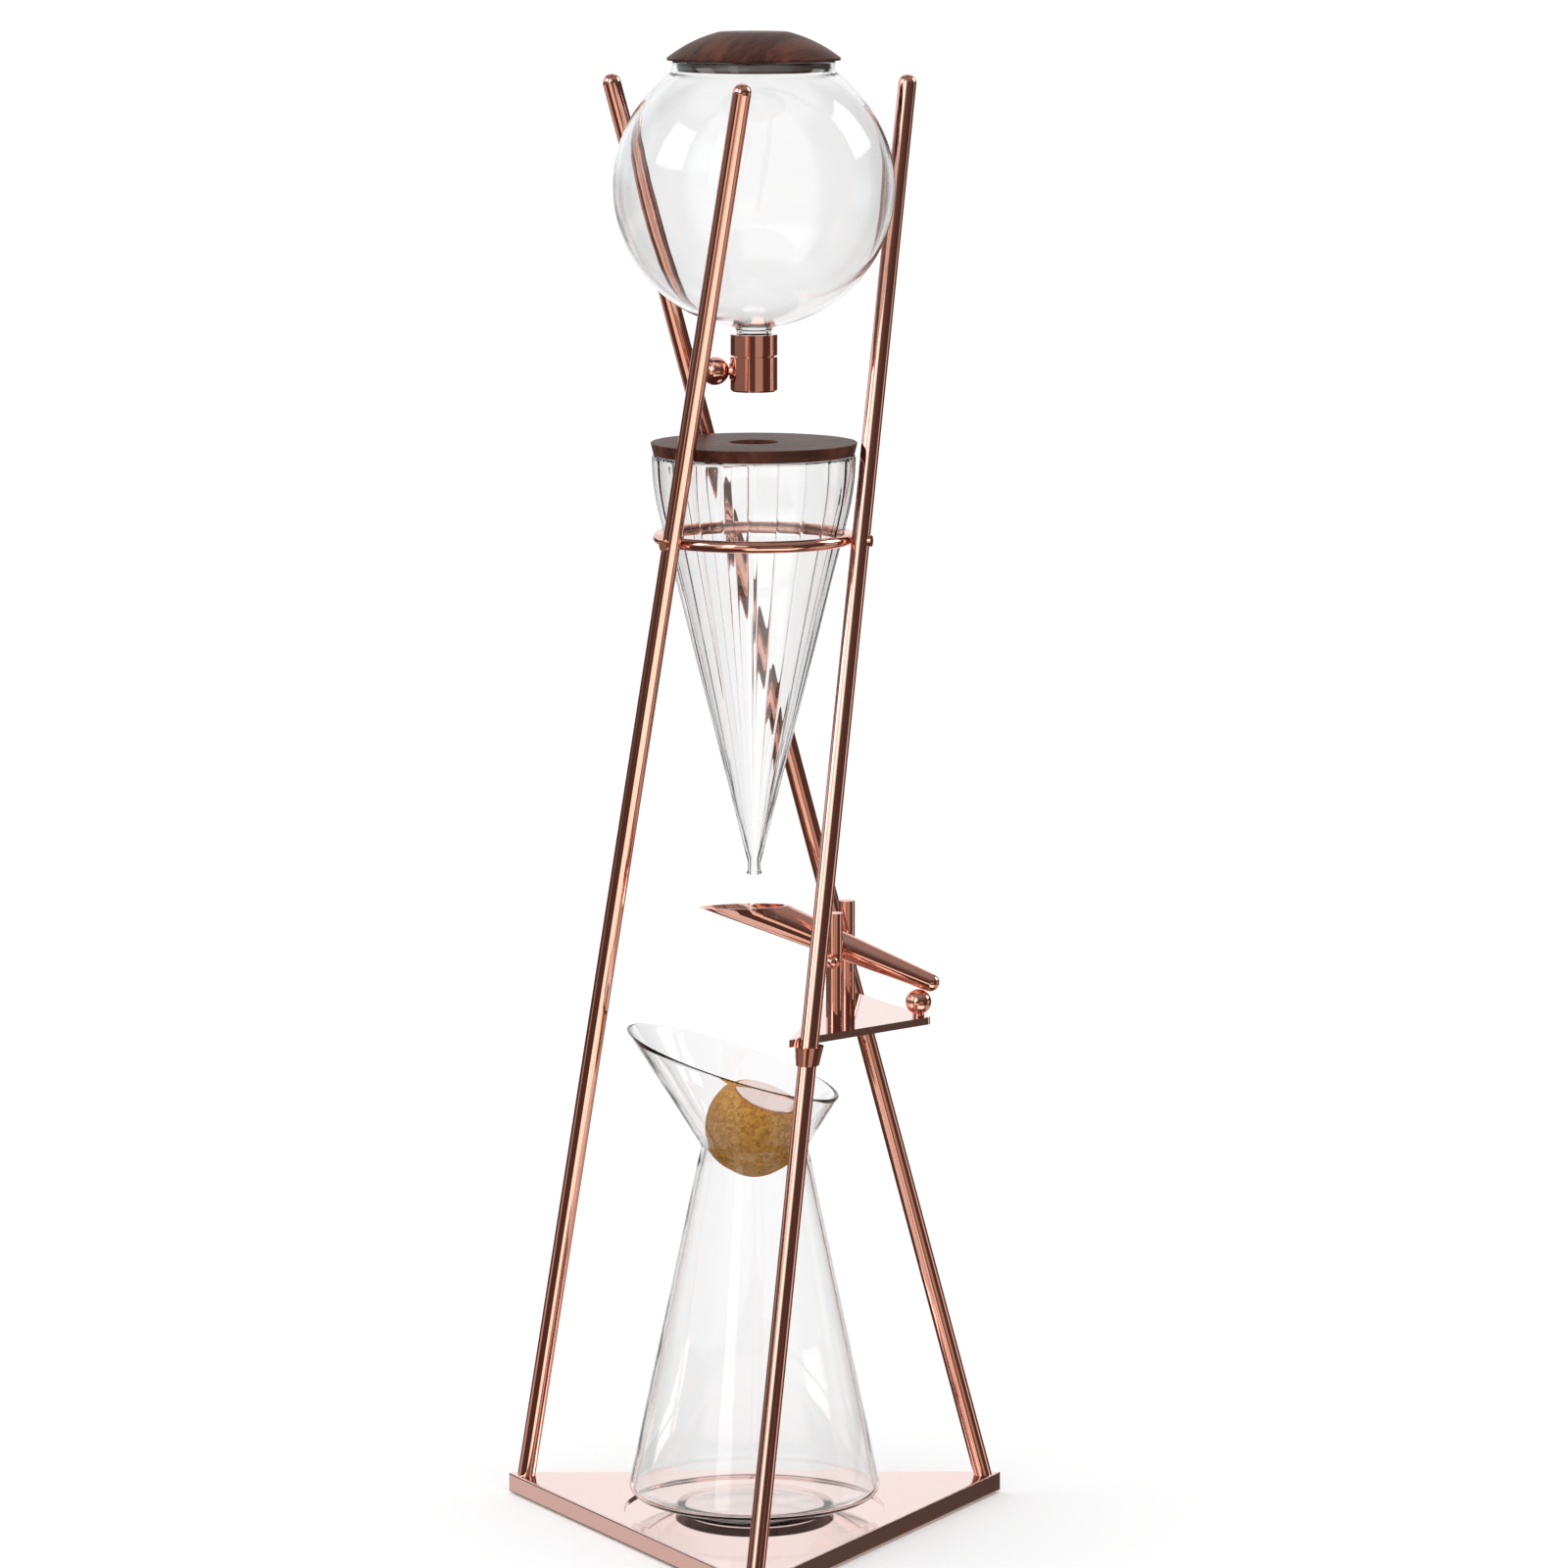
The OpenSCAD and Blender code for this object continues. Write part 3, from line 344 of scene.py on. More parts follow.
middle = (a_out + a_in) / 2
half = (a_out - a_in) / 2
lift = np.stack([math.sin(FLARE) * np.cos(angle), math.sin(FLARE) * np.sin(angle),
                 math.cos(FLARE) + 0 * angle], -1) * np.linalg.norm(half, axis=1)[:, None] * 0.8
t = np.linspace(0, math.pi, 9)[:, None, None]
bead = middle - lift + half * np.cos(t) + lift * np.sin(t)
out_flare[1:] -= lift * share[1:, None, None]
in_flare[1:] -= lift * share[1:, None, None]
carafe_rows = np.concatenate([turned(outside, columns), out_flare, bead[1:-1], in_flare[::-1],
                              turned(inside_low[::-1], columns)])
carafe = surface("carafe_glass", carafe_rows)
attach(carafe, "jug")
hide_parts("carafe")

# %% [markdown]
# ## Walnut cap and lid
# Both are turned from dark walnut. The cap is a low dome with a flat on top and a thin edge. The lid
# is a disc that tapers in towards the funnel, with a round hole for the drops. Sanded edges get small
# radii, which catch a fine line of light.

# %% Walnut cap and lid
CAP_R, CAP_FLAT, CAP_EDGE = cap_high[0], 17.2, 1.2
LID_R, LID_TAPER, HOLE_R = lid_high[0], 1.6, 12.2
cap_base, cap_top = cap_low[2], cap_high[2]
cap_h = cap_top - cap_base
ball_low = (cap_h ** 2 + CAP_FLAT ** 2 - CAP_EDGE ** 2 - CAP_R ** 2) / (2 * (cap_h - CAP_EDGE))
ball_r = math.hypot(CAP_R, CAP_EDGE - ball_low)
a = np.linspace(math.asin(CAP_R / ball_r), math.asin(CAP_FLAT / ball_r), 40)[:, None]
dome = np.hstack([ball_r * np.sin(a), cap_base + ball_low + ball_r * np.cos(a)])
corners = ([(0, cap_base, 0), (CAP_R, cap_base, 0.4), (CAP_R, cap_base + CAP_EDGE, 0.5)]
           + [(r, z, 0) for r, z in dome[1:-2]] + [(CAP_FLAT, cap_top, 9), (0, cap_top, 0)])
cap = surface("cap_walnut", turned(rounded(corners), 160))
lid_corners = [(HOLE_R, lid_low[2], 0.5), (LID_R - LID_TAPER, lid_low[2], 0.6),
               (LID_R, lid_high[2], 0.5), (HOLE_R, lid_high[2], 0.7)]
lid = surface("lid_walnut", turned(rounded(lid_corners, closed=True), 160), ring=True)
for piece, body, node in ((cap, "cap", "globe_cap"), (lid, "lid", "funnel_lid")):
    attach(piece, body)
    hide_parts(node)

# %% [markdown]
# ## Cork stopper
# The stopper is a ball of pressed cork with a flat cut, and a thin polished disc is let into the cut.
# The ball's skin gets real grain: a sum of random waves gives each point a small step in or out.

# %% Cork ball and its disc
CORK_R, FACE, DISC_R, DISC_T, PROUD, LEAN, TURN = 25.5, 18.6, 16.5, 2.0, 0.8, 22.3, -32.0
cork_z = low_high("cork_ball")[0][2] + CORK_R


def placed(rows):
    """Turns a grid from the stopper's upright frame to its lean, then lifts it to the ball's middle."""
    lean, turn = math.radians(LEAN), math.radians(TURN)
    tilt = np.array([[math.cos(lean), 0, math.sin(lean)], [0, 1, 0], [-math.sin(lean), 0, math.cos(lean)]])
    spin = np.array([[math.cos(turn), -math.sin(turn), 0], [math.sin(turn), math.cos(turn), 0], [0, 0, 1]])
    return rows @ (spin @ tilt).T + [0, 0, cork_z]


cut = FACE - PROUD
a = np.linspace(-math.pi / 2, math.asin(cut / CORK_R), 110)[:, None]
ball = np.hstack([CORK_R * np.cos(a), CORK_R * np.sin(a)])
ball[0, 0] = 0
pocket_r, pocket_floor = DISC_R + 0.05, FACE - DISC_T
seat = rounded([(*ball[-2], 0), (*ball[-1], 0.5), (pocket_r, cut, 0.2), (pocket_r, pocket_floor, 0),
                (0, pocket_floor, 0)])
grain = np.random.default_rng(7)
waves = grain.normal(size=(60, 3)) * grain.uniform(0.5, 2.2, (60, 1))
phase = grain.uniform(0, 2 * math.pi, 60)
grid = turned(np.vstack([ball[:-2], seat]), 220)
rough = np.sin(grid @ waves.T + phase).sum(-1) / math.sqrt(60)
skin_only = (np.linalg.norm(grid, axis=-1) > CORK_R - 0.3) & (grid[..., 2] < cut - 0.4)
grid = grid * (1 - np.where(skin_only, np.clip(rough + 0.6, 0, 2) * 0.055 / CORK_R, 0))[..., None]
cork = surface("cork_stopper", placed(grid))
disc_corners = [(0, pocket_floor, 0), (DISC_R, pocket_floor, 0), (DISC_R, FACE, 0.35), (0, FACE, 0)]
disc = surface("stopper_inlay", placed(turned(rounded(disc_corners), 128)), sharp=35)
for piece, node, slot in ((cork, "cork_ball", "cork"), (disc, "stopper_disc", "pale_copper")):
    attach(piece, "stopper")
    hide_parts(node)

# %% [markdown]
# ## Base plate
# The plate is a thick polished triangle with a shallow round seat for the carafe. The same grid works
# for it: the columns go round, and the outer rows follow the triangle instead of a circle. Along a
# straight side, the distance from the middle is the side's distance over the cosine of the angle.

# %% Base plate with broken edges
BASE_SIDE, BLUNT, SEAT_R, SEAT_DEPTH = 260.0, 1.2, 67.2, 1.5
corner_r = BASE_SIDE / math.sqrt(3)


def polygon_angles(corner_angles, each=40):
    """Column angles that pass exactly through each corner, close together next to it."""
    t = np.linspace(0, 1, each, endpoint=False)
    ease = t - np.sin(2 * math.pi * t) / (2 * math.pi) * 0.9
    gaps = np.diff(np.append(corner_angles, corner_angles[0] + 2 * math.pi))
    return (corner_angles[:, None] + gaps[:, None] * ease[None, :]).ravel()


def edge_distance(normals, distances, angle):
    """Distance from the middle to a convex outline: the nearest of its sides in that direction."""
    facing = np.cos(angle[:, None] - normals[None, :])
    reach = np.where(facing > 1e-3, distances[None, :] / np.maximum(facing, 1e-3), 1e9)
    return reach.min(1)


side_normals = np.radians([-150.0, -30.0, 90.0])
blunt_normals = np.radians([-90.0, 30.0, 150.0])
blunt_r = corner_r - BLUNT * math.cos(math.radians(30))
plate_normals = np.concatenate([side_normals, blunt_normals])
plate_reach = np.concatenate([np.full(3, corner_r / 2), np.full(3, blunt_r)])
swing = math.atan2(BLUNT / 2, blunt_r)
corner_angles = np.sort(np.concatenate([blunt_normals - swing, blunt_normals + swing]))
plate_angle = polygon_angles(corner_angles)


def plate_row(inset, z):
    """One row of the plate's outline, moved in by inset, at height z."""
    r = edge_distance(plate_normals, plate_reach - inset, plate_angle)
    return np.stack([r * np.cos(plate_angle), r * np.sin(plate_angle), np.full(len(r), z)], -1)


def disc_row(r, z):
    """One round row of the plate, at radius r and height z."""
    return np.stack([r * np.cos(plate_angle), r * np.sin(plate_angle), np.full(len(plate_angle), z)], -1)


bevel = 0.5
b = np.linspace(0, math.pi / 2, 5)
plate_rows = ([disc_row(0, 0), disc_row(60, 0), plate_row(bevel + 1, 0)]
              + [plate_row(bevel * (1 - math.sin(v)), bevel * (1 - math.cos(v))) for v in b]
              + [plate_row(0, bevel + 0.8), plate_row(0, deck - bevel - 0.8)]
              + [plate_row(bevel * (1 - math.cos(v)), deck - bevel * (1 - math.sin(v))) for v in b]
              + [plate_row(bevel + 1, deck), disc_row(SEAT_R + 1.4, deck)]
              + [disc_row(SEAT_R + 0.4 * (1 - math.sin(v)), deck - 0.4 * (1 - math.cos(v))) for v in b]
              + [disc_row(SEAT_R, deck - SEAT_DEPTH + 0.3), disc_row(SEAT_R - 0.3, deck - SEAT_DEPTH),
                 disc_row(SEAT_R - 1.5, deck - SEAT_DEPTH), disc_row(30, deck - SEAT_DEPTH),
                 disc_row(0, deck - SEAT_DEPTH)])
plate = surface("base_plate_polished", plate_rows, sharp=28)
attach(plate, "tower")
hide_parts("base_plate")

# %% [markdown]
# ## Writing materials as sums
# A material is a small calculation that runs for every point of a surface. To keep it readable, one
# class wraps a node's output, and plus, minus and times on it add the Math nodes. One method adds any
# other node: its type, its settings, then the values or links of its sockets.

# %% The shader language


class Value:
    """One output of a node, which can stand in sums. Each sign adds one Math node."""

    def __init__(self, finish, socket):
        self.finish, self.socket = finish, socket

    def math(self, operation, *others, clamp=False):
        values = dict(enumerate((self, *others)))
        return self.finish.add("ShaderNodeMath", {"operation": operation, "use_clamp": clamp}, values)

    def __add__(self, other):
        return self.math("ADD", other)

    def __mul__(self, other):
        return self.math("MULTIPLY", other)

    def __sub__(self, other):
        return self.math("SUBTRACT", other)

    def __rsub__(self, other):
        return self.finish.add("ShaderNodeMath", {"operation": "SUBTRACT"}, {0: other, 1: self})

    def __truediv__(self, other):
        return self.math("DIVIDE", other)

    def __pow__(self, other):
        return self.math("POWER", other)

    __radd__, __rmul__ = __add__, __mul__

    def between(self, low, high):
        """0 below low, 1 above high, with soft ends."""
        settings = {"interpolation_type": "SMOOTHSTEP"}
        inputs = {"Value": self, "From Min": low, "From Max": high}
        return self.finish.add("ShaderNodeMapRange", settings, inputs)

    def within(self, low, high, soft):
        """1 between low and high, falling to 0 over soft on both sides."""
        return self.between(low - soft, low + soft) * (1 - self.between(high - soft, high + soft))


class Finish:
    """A node tree that is being written: a material, or the world."""

    def __init__(self, owner):
        self.owner = owner
        owner.use_nodes = True
        self.tree = owner.node_tree
        self.tree.nodes.clear()

    def add(self, kind, settings=None, inputs=None, out=0):
        """Adds a node, sets it, then fills its sockets with numbers, colours or links."""
        node = self.tree.nodes.new(kind)
        for key, value in (settings or {}).items():
            if key == "stops":
                ramp = node.color_ramp
                for k, (place, colour) in enumerate(value):
                    stop = ramp.elements[k] if k < 2 else ramp.elements.new(place)
                    stop.position, stop.color = place, (*colour, 1)
            else:
                setattr(node, key, value)
        for key, value in (inputs or {}).items():
            if isinstance(value, Value):
                self.tree.links.new(value.socket, node.inputs[key])
            else:
                node.inputs[key].default_value = value
        self.node = node
        return Value(self, node.outputs[out]) if node.outputs else None

    def place(self, scale=(1, 1, 1), turn=(0, 0, 0), centre=(0, 0, 0)):
        """Object coordinates in millimetres, turned about centre and then stretched by scale."""
        point = self.add("ShaderNodeTexCoord", out="Object")
        turned_point = self.add("ShaderNodeVectorRotate", {"rotation_type": "EULER_XYZ"},
                                {"Vector": point, "Center": [c * MM for c in centre],
                                 "Rotation": [math.radians(t) for t in turn]})
        return self.add("ShaderNodeVectorMath", {"operation": "MULTIPLY"},
                        {0: turned_point, 1: [s / MM for s in scale]})

    def noise(self, vector, scale, detail=3.0, roughness=0.5, distortion=0.0):
        inputs = {"Vector": vector, "Scale": scale, "Detail": detail, "Roughness": roughness,
                  "Distortion": distortion}
        return self.add("ShaderNodeTexNoise", {}, inputs)

    def mix(self, share, first, second):
        """Colour that goes from first to second as share goes from 0 to 1."""
        inputs = {0: share, 6: first if isinstance(first, Value) else (*first, 1),
                  7: second if isinstance(second, Value) else (*second, 1)}
        return self.add("ShaderNodeMix", {"data_type": "RGBA"}, inputs, out=2)

    def ramp(self, share, stops):
        return self.add("ShaderNodeValToRGB", {"stops": stops}, {0: share})

    def bump(self, height, distance, strength=1.0):
        """Normal of a surface that stands up by height times distance, in millimetres."""
        inputs = {"Height": height, "Distance": distance * MM, "Strength": strength}
        return self.add("ShaderNodeBump", {}, inputs)

    def shade(self, **inputs):
        """Ends the material in one Principled shader. Underscores in the names stand for spaces."""
        named = {key.replace("_", " "): value for key, value in inputs.items()}
        shader = self.add("ShaderNodeBsdfPrincipled", {}, named)
        self.add("ShaderNodeOutputMaterial", {}, {"Surface": shader})
        return self.owner


def new_finish(name):
    return Finish(bpy.data.materials.new(name))


# %% [markdown]
# ## Polished copper
# The rods, ring, valve and tube have a bright copper coat. Polishing leaves hair-fine marks along the
# piece and a very slight change of tone from place to place. Both are faint, or the mirror would go
# dull: the marks only move the roughness by a few hundredths.

# %% Polished copper


def copper_finish(name, colour, rough, patina):
    """Mirror-like copper: a base tone that drifts a little, and roughness from fine marks."""
    f = new_finish(name)
    cloud = f.noise(f.place(), 0.02, 2.0)
    fine = f.noise(f.place(scale=(1, 1, 0.06)), 1.6, 4.0, 0.6)
    warm = [c * k for c, k in zip(colour, patina)]
    tone = f.mix(cloud.between(0.35, 0.7) * 0.5 + fine.between(0.4, 0.8) * 0.15, colour, warm)
    return f.shade(Base_Color=tone, Metallic=1.0, Roughness=rough + fine.between(0.45, 0.8) * 0.05,
                   Normal=f.bump(fine, 0.002, 0.3))


copper = copper_finish("copper_polished", (0.85, 0.45, 0.355), 0.07, (0.95, 0.88, 0.84))
pale = copper_finish("copper_pale_mirror", (0.93, 0.71, 0.665), 0.045, (1.0, 0.97, 0.96))
# Painted shade: the stopper's disc is the same pale copper as the plate, made darker here.
inlay = copper_finish("copper_inlay_painted_shade", (0.82, 0.66, 0.62), 0.09, (1.0, 0.97, 0.96))

# %% [markdown]
# ## Clear glass
# Clear glass shows itself only by its edges. Where the skin turns away from the eye, the colour is
# painted from clear to a soft grey: painted shade that draws the dark outlines. Layer Weight knows
# that angle for every view, so the painted grey follows it.

# %% Clear glass


def glass_finish(name, clear, edge, start, full, ripple):
    """Glass whose colour falls from clear to a painted grey shade where the skin turns away from the eye."""
    f = new_finish(name)
    facing = f.add("ShaderNodeLayerWeight", {}, {"Blend": 0.5}, out="Facing")
    wave = f.noise(f.place(), 0.035, 1.0)
    # Painted shade: the base colour turns from clear to the grey towards the outline.
    tone = f.mix(facing.between(start, full), (clear,) * 3, edge)
    return f.shade(Base_Color=tone, Roughness=0.0, IOR=1.47, Transmission_Weight=1.0,
                   Normal=f.bump(wave, ripple))


# The grey colour given to each glass is its painted shade at the outline.
globe_mat = glass_finish("glass_blown_globe", 0.985, (0.72, 0.73, 0.74), 0.80, 1.0, 0.25)
funnel_mat = glass_finish("glass_pressed_funnel", 0.985, (0.78, 0.79, 0.80), 0.80, 1.0, 0.10)
carafe_mat = glass_finish("glass_blown_carafe", 1.0, (0.34, 0.35, 0.36), 0.76, 0.92, 0.25)

# %% [markdown]
# ## Walnut
# Walnut is dark brown with darker lines of grain. The lines are noise that is stretched a long way
# along the wood and bent a little by a slower noise. Fine pores run the same way. The oil is rubbed
# in and leaves a soft, weak sheen, so the specular level is below that of a lacquer.

# %% Walnut


def walnut_finish(name, centre, turn):
    """Oiled walnut: stretched noise for the grain, finer noise for the pores, a weak sheen of oil."""
    f = new_finish(name)
    along = f.place(scale=(1, 0.08, 0.5), turn=turn, centre=centre)
    band = f.noise(along, 0.13, 3.0, 0.55, 0.8)
    line = f.noise(along, 0.55, 4.0, 0.65, 0.3)
    pore = f.noise(f.place(scale=(1, 0.05, 1), turn=turn, centre=centre), 3.2, 2.0)
    share = band * 0.62 + line * 0.38
    tone = f.ramp(share, [(0.34, (0.028, 0.0085, 0.0055)), (0.46, (0.060, 0.0175, 0.0105)),
                          (0.55, (0.098, 0.030, 0.018)), (0.68, (0.140, 0.048, 0.028))])
    pores = pore.between(0.58, 0.72)
    tone = f.mix(pores * 0.55, tone, (0.022, 0.008, 0.006))
    return f.shade(Base_Color=tone, Roughness=0.42 + pores * 0.2 + line.between(0.4, 0.7) * 0.08,
                   Specular_IOR_Level=0.16, Normal=f.bump(1 - pores, 0.05, 0.5))


walnut_cap = walnut_finish("walnut_oiled_cap", (0, 0, cap_base), (0, 0, 38))
walnut_lid = walnut_finish("walnut_oiled_lid", (0, 0, lid_low[2]), (0, 0, 68))

# %% [markdown]
# ## Cork
# Pressed cork is made of crumbs: small cells in tans and browns, with a few dark specks between them.
# Voronoi cells give each crumb its own tone, and their borders are slightly sunk.

# %% Cork
f = new_finish("cork_pressed")
point = f.place()
bent = f.noise(point, 0.5, 2.0)
crumbs = f.add("ShaderNodeTexVoronoi", {}, {"Vector": point, "Scale": 0.62, "Randomness": 1.0},
               out="Distance")
crumb_colour = Value(f, f.node.outputs["Color"])
crumb_tone = f.add("ShaderNodeSeparateColor", {}, {"Color": crumb_colour})
small = f.add("ShaderNodeTexVoronoi", {}, {"Vector": point, "Scale": 1.7, "Randomness": 1.0}, out="Color")
small_tone = f.add("ShaderNodeSeparateColor", {}, {"Color": small})
specks = f.noise(point, 2.2, 3.0, 0.7).between(0.60, 0.68)
share = crumb_tone * 0.45 + small_tone * 0.35 + bent * 0.2
tone = f.ramp(share, [(0.15, (0.36, 0.145, 0.020)), (0.45, (0.60, 0.270, 0.040)),
                      (0.62, (0.72, 0.340, 0.055)), (0.90, (0.82, 0.450, 0.100))])
tone = f.mix(specks * 0.5, tone, (0.22, 0.085, 0.012))
cork_mat = f.shade(Base_Color=tone, Roughness=0.8, Specular_IOR_Level=0.15,
                   Normal=f.bump(crumbs * -1.0 + small_tone * 0.5, 0.35, 0.6))

# %% [markdown]
# ## Seals and steel
# The small hidden parts are plain: a matt silicone for the seals, black rubber for the feet, and steel
# for the screws. Each still has a fine grain, so that it looks moulded or turned when it is seen close.

# %% Seals and steel


def plain_finish(name, colour, metallic, rough, grain, height):
    """Moulded or turned small part: one colour, with a fine grain in tone, roughness and height."""
    f = new_finish(name)
    speck = f.noise(f.place(), grain, 3.0)
    darker = [c * 0.82 for c in colour]
    return f.shade(Base_Color=f.mix(speck, colour, darker), Metallic=metallic,
                   Roughness=rough + speck * 0.1, Normal=f.bump(speck, height, 0.3))


silicone = plain_finish("silicone_matt", (0.17, 0.13, 0.11), 0.0, 0.4, 1.2, 0.02)
rubber = plain_finish("rubber_black", (0.025, 0.025, 0.027), 0.0, 0.55, 1.5, 0.03)
steel = plain_finish("steel_plain", (0.60, 0.60, 0.62), 1.0, 0.25, 2.0, 0.01)

# %% [markdown]
# ## Giving the pieces their finishes
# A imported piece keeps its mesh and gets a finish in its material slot. The record already says which
# slot each piece belongs to, so the list here goes by finish.

# %% Finishes on the pieces
for piece, material in ((globe, globe_mat), (funnel, funnel_mat), (carafe, carafe_mat), (cap, walnut_cap),
                        (lid, walnut_lid), (cork, cork_mat), (disc, inlay), (plate, pale)):
    piece.data.materials.append(material)
finishes = {
    copper: ["leg_rod_front", "leg_rod_right", "leg_rod_left", "funnel_ring", "ring_screws",
             "shelf_collars", "front_post", "rear_post", "pin_washers", "pin_nuts", "stop_ball",
             "tipping_tube", "tube_end_plug", "pivot_bush", "valve_nut", "valve_body", "gland_nut",
             "valve_plug", "valve_knob"],
    pale: ["shelf_plate"],
    walnut_cap: ["cap_plug"],
    silicone: ["neck_gasket", "neck_ring_seal", "cap_seal"],
    rubber: ["foot_pads", "plug_seals"],
    steel: ["leg_screws", "collar_screws", "post_screws", "pivot_pin"],
}
for material, names in finishes.items():
    for name in names:
        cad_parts[name].material_slots[0].material = material
print("finished", sum(len(names) for names in finishes.values()), "packed pieces")

# %% [markdown]
# ## Studio
# The tower stands on a pale floor that runs to the horizon. The world shows plain white to the camera
# and through glass. Mirrors need something to mirror, so for glossy rays the world holds a studio:
# dark walls with soft panels. Each panel is a window in compass angle and height above the horizon,
# with 0 towards the camera and positive angles to its right.

# %% Camera
camera = bpy.data.objects.new("camera", bpy.data.cameras.new("camera"))
CAMERA_PLACE, LOOK_DOWN, LOOK_RIGHT = (0, -3.28796, 0.8662), 0.1446, 0.0046  # metres, radians
camera.location = CAMERA_PLACE
camera.rotation_euler = (math.pi / 2 - LOOK_DOWN, 0, -LOOK_RIGHT)
camera.data.lens, camera.data.sensor_width, camera.data.clip_end = 150.23, 36, 200
bpy.context.scene.collection.objects.link(camera)
bpy.context.scene.camera = camera

# %% The world's panels
world = bpy.data.worlds.new("studio")
bpy.context.scene.world = world
w = Finish(world)
direction = w.add("ShaderNodeTexCoord", out="Generated")
x = w.add("ShaderNodeSeparateXYZ", {}, {"Vector": direction}, out="X")
y, z = Value(w, w.node.outputs["Y"]), Value(w, w.node.outputs["Z"])
degree = 180 / math.pi
compass = w.add("ShaderNodeMath", {"operation": "ARCTAN2"}, {0: x, 1: y * -1}) * degree
height = z.math("ARCSINE") * degree
away = compass.math("ABSOLUTE")
PANELS = [  # level, tint, compass from, to, height from, to, softness
    (1.7, (1.0, 1.03, 0.95), -12, 62, -58, -27, 5),       # low warm panel, front right
    (0.62, (1.0, 0.82, 0.74), 74, 185, -48, -20, 6),      # low wall, right
    (0.95, (1.0, 1.12, 1.18), -185, -100, 1, 30, 4),      # upper wall, left and back, cool
    (4.0, (1.0, 1.0, 1.0), -91, -62, 13, 41, 1.5),        # window, left
    (4.0, (1.0, 1.0, 1.0), 96, 124, 15, 41, 1.5),         # window, right
    (1.1, (1.0, 1.22, 1.30), -60, -8, 12, 36, 4),         # upper panel, front left, cool
    (1.1, (1.0, 0.90, 0.76), -44, 2, -22, -8, 3),         # middle panel, front left
    (0.75, (1.0, 0.70, 0.55), -44, -21, -8, 4, 2),        # narrow strip, front left
    (0.26, (1.0, 0.80, 0.72), -108, -44, -10, 6, 4),      # wall, left
    (0.50, (1.0, 0.80, 0.70), 6, 44, -12, 5, 3),          # wall, front right
    (0.80, (1.0, 0.95, 0.92), 88, 110, -12, 3, 2),        # strip, right
    (0.66, (1.0, 0.81, 0.75), -152, -88, -19, -12.5, 1),  # low strip, left
    (2.6, (1.0, 1.0, 1.0), -37, -23, 4, 44, 1),           # tall strip, front left
]
WALL_TONE, CEILING_TONE, OVERHEAD_TONE = (0.085, 0.058, 0.048), (0.34, 0.32, 0.31), (0.08, 0.075, 0.07)
studio = w.mix(height.between(10, 60), WALL_TONE, CEILING_TONE)
studio = w.mix(height.between(75, 81), studio, OVERHEAD_TONE)
for level, tint, a0, a1, e0, e1, soft in PANELS:
    panel = compass.within(a0, a1, soft) * height.within(e0, e1, soft)
    studio = w.mix(panel, studio, [level * c for c in tint])
upper_back = away.between(148, 156) * height.within(6, 60, 3)
lower_back = away.between(156, 166) * height.within(-35, 60, 4)
studio = w.mix(upper_back.math("MAXIMUM", lower_back), studio, (1.0, 1.0, 1.0))

# %% [markdown]
# Matt things are lit by the same world, but more plainly: a wide soft light from the upper left front,
# and less from below. Its level is set so that a white card on the floor comes out just white.
# Clear glass is shown the way a photographer does it: a black card stands on each side, out of the
# picture, and only light that the glass bends far to the side meets it. That draws the dark outlines.

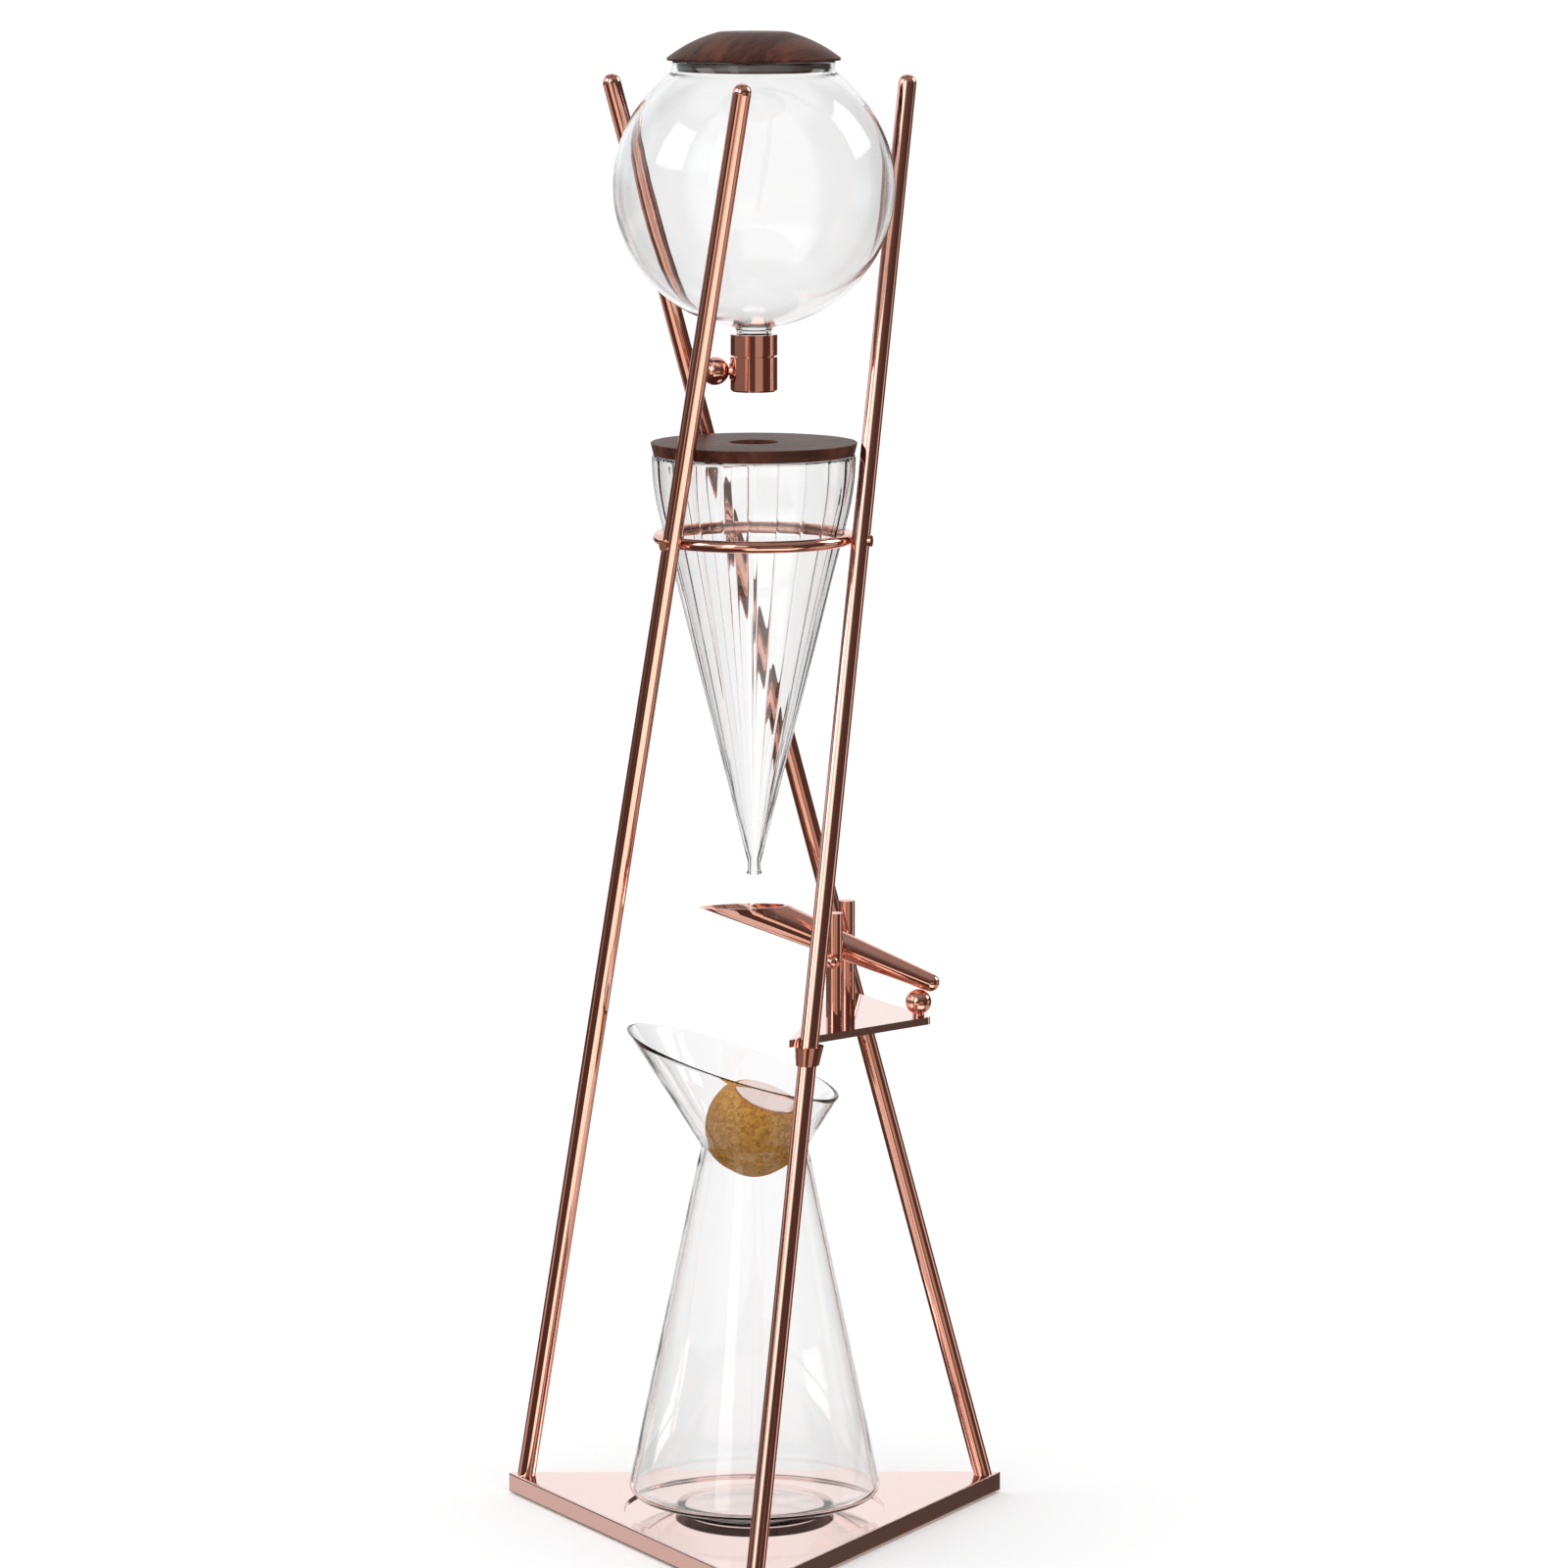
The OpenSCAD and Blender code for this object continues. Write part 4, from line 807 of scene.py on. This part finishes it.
# %% Soft light, and what each kind of ray sees
KEY = (-0.42, -0.55, 0.72)
CARD_FROM, CARD_TO, CARD_SOFT = 58, 144, 8  # compass angles of the cards on both sides
CARD_NEAR, CARD_FAR = 450, 700  # on the floor, the cards fade in between these distances, in mm
CARD_LEFT, CARD_RIGHT = (0.13, 0.133, 0.136), (0.05, 0.052, 0.055)
toward = w.add("ShaderNodeVectorMath", {"operation": "DOT_PRODUCT"}, {0: direction, 1: KEY}, out="Value")
soft_light = toward.between(-0.5, 1.0) * 0.85 + 0.52
plain = w.add("ShaderNodeCombineColor", {}, {0: soft_light, 1: soft_light, 2: soft_light})
w.add("ShaderNodeLightPath")
camera_ray, through, glossy = (Value(w, w.node.outputs[f"Is {kind} Ray"]) for kind in
                               ("Camera", "Transmission", "Glossy"))
side = x.between(-0.1, 0.1)
cards = w.mix(away.within(CARD_FROM, CARD_TO, CARD_SOFT), (1.0, 1.0, 1.0), w.mix(side, CARD_LEFT, CARD_RIGHT))
seen = w.mix(glossy, plain, studio)
seen = w.mix(through, seen, cards)
seen = w.mix(camera_ray, seen, (1.0, 1.0, 1.0))
background = w.add("ShaderNodeBackground", {}, {"Color": seen, "Strength": 1.0})
w.add("ShaderNodeOutputWorld", {}, {"Surface": background})

# %% Floor
FLOOR_R = 90000
floor_z = low_high("foot_pads")[0][2] - 0.02
ring_r = np.concatenate([[0], np.geomspace(300, FLOOR_R, 14)])[::-1]
floor = surface("floor", turned(np.stack([ring_r, np.full(len(ring_r), floor_z)], -1), 96))
floor.visible_glossy = False
f = new_finish("floor_pale")
f.add("ShaderNodeLightPath")
camera_ray, through = (Value(f, f.node.outputs[f"Is {kind} Ray"]) for kind in ("Camera", "Transmission"))
point = f.place()
x = f.add("ShaderNodeSeparateXYZ", {}, {"Vector": point}, out="X")
y = Value(f, f.node.outputs["Y"])
round_tower = f.add("ShaderNodeMath", {"operation": "ARCTAN2"}, {0: x, 1: y * -1}).math("ABSOLUTE") * degree
distance = f.add("ShaderNodeVectorMath", {"operation": "LENGTH"}, {0: point}, out="Value")
card = round_tower.within(CARD_FROM, CARD_TO, CARD_SOFT) * distance.between(CARD_NEAR, CARD_FAR)
card_tone = f.mix(x.between(-50, 50), CARD_LEFT, CARD_RIGHT)
# Painted shade: to all rays but the camera's and those through glass, the floor is a grey near 0.45, so
# little bounce light rises from it and the undersides of things stay darker. The noise only moves that grey a
# little. Through glass the floor is a paler grey, 0.91, painted shade that greys the glass, with the dark
# cards at both sides.
bounce_grey_noise = f.noise(point, 0.004, 2.0)
tone = f.mix(bounce_grey_noise, (0.46, 0.45, 0.44), (0.44, 0.43, 0.42))
tone = f.mix(through, tone, f.mix(card, (0.91, 0.91, 0.91), card_tone))
tone = f.mix(camera_ray, tone, (0.985, 0.985, 0.985))
floor.data.materials.append(f.shade(Base_Color=tone, Roughness=1.0, Specular_IOR_Level=0.0))
scene = bpy.context.scene
scene.view_settings.view_transform = "Standard"

# %% The end
bpy.context.view_layer.update()
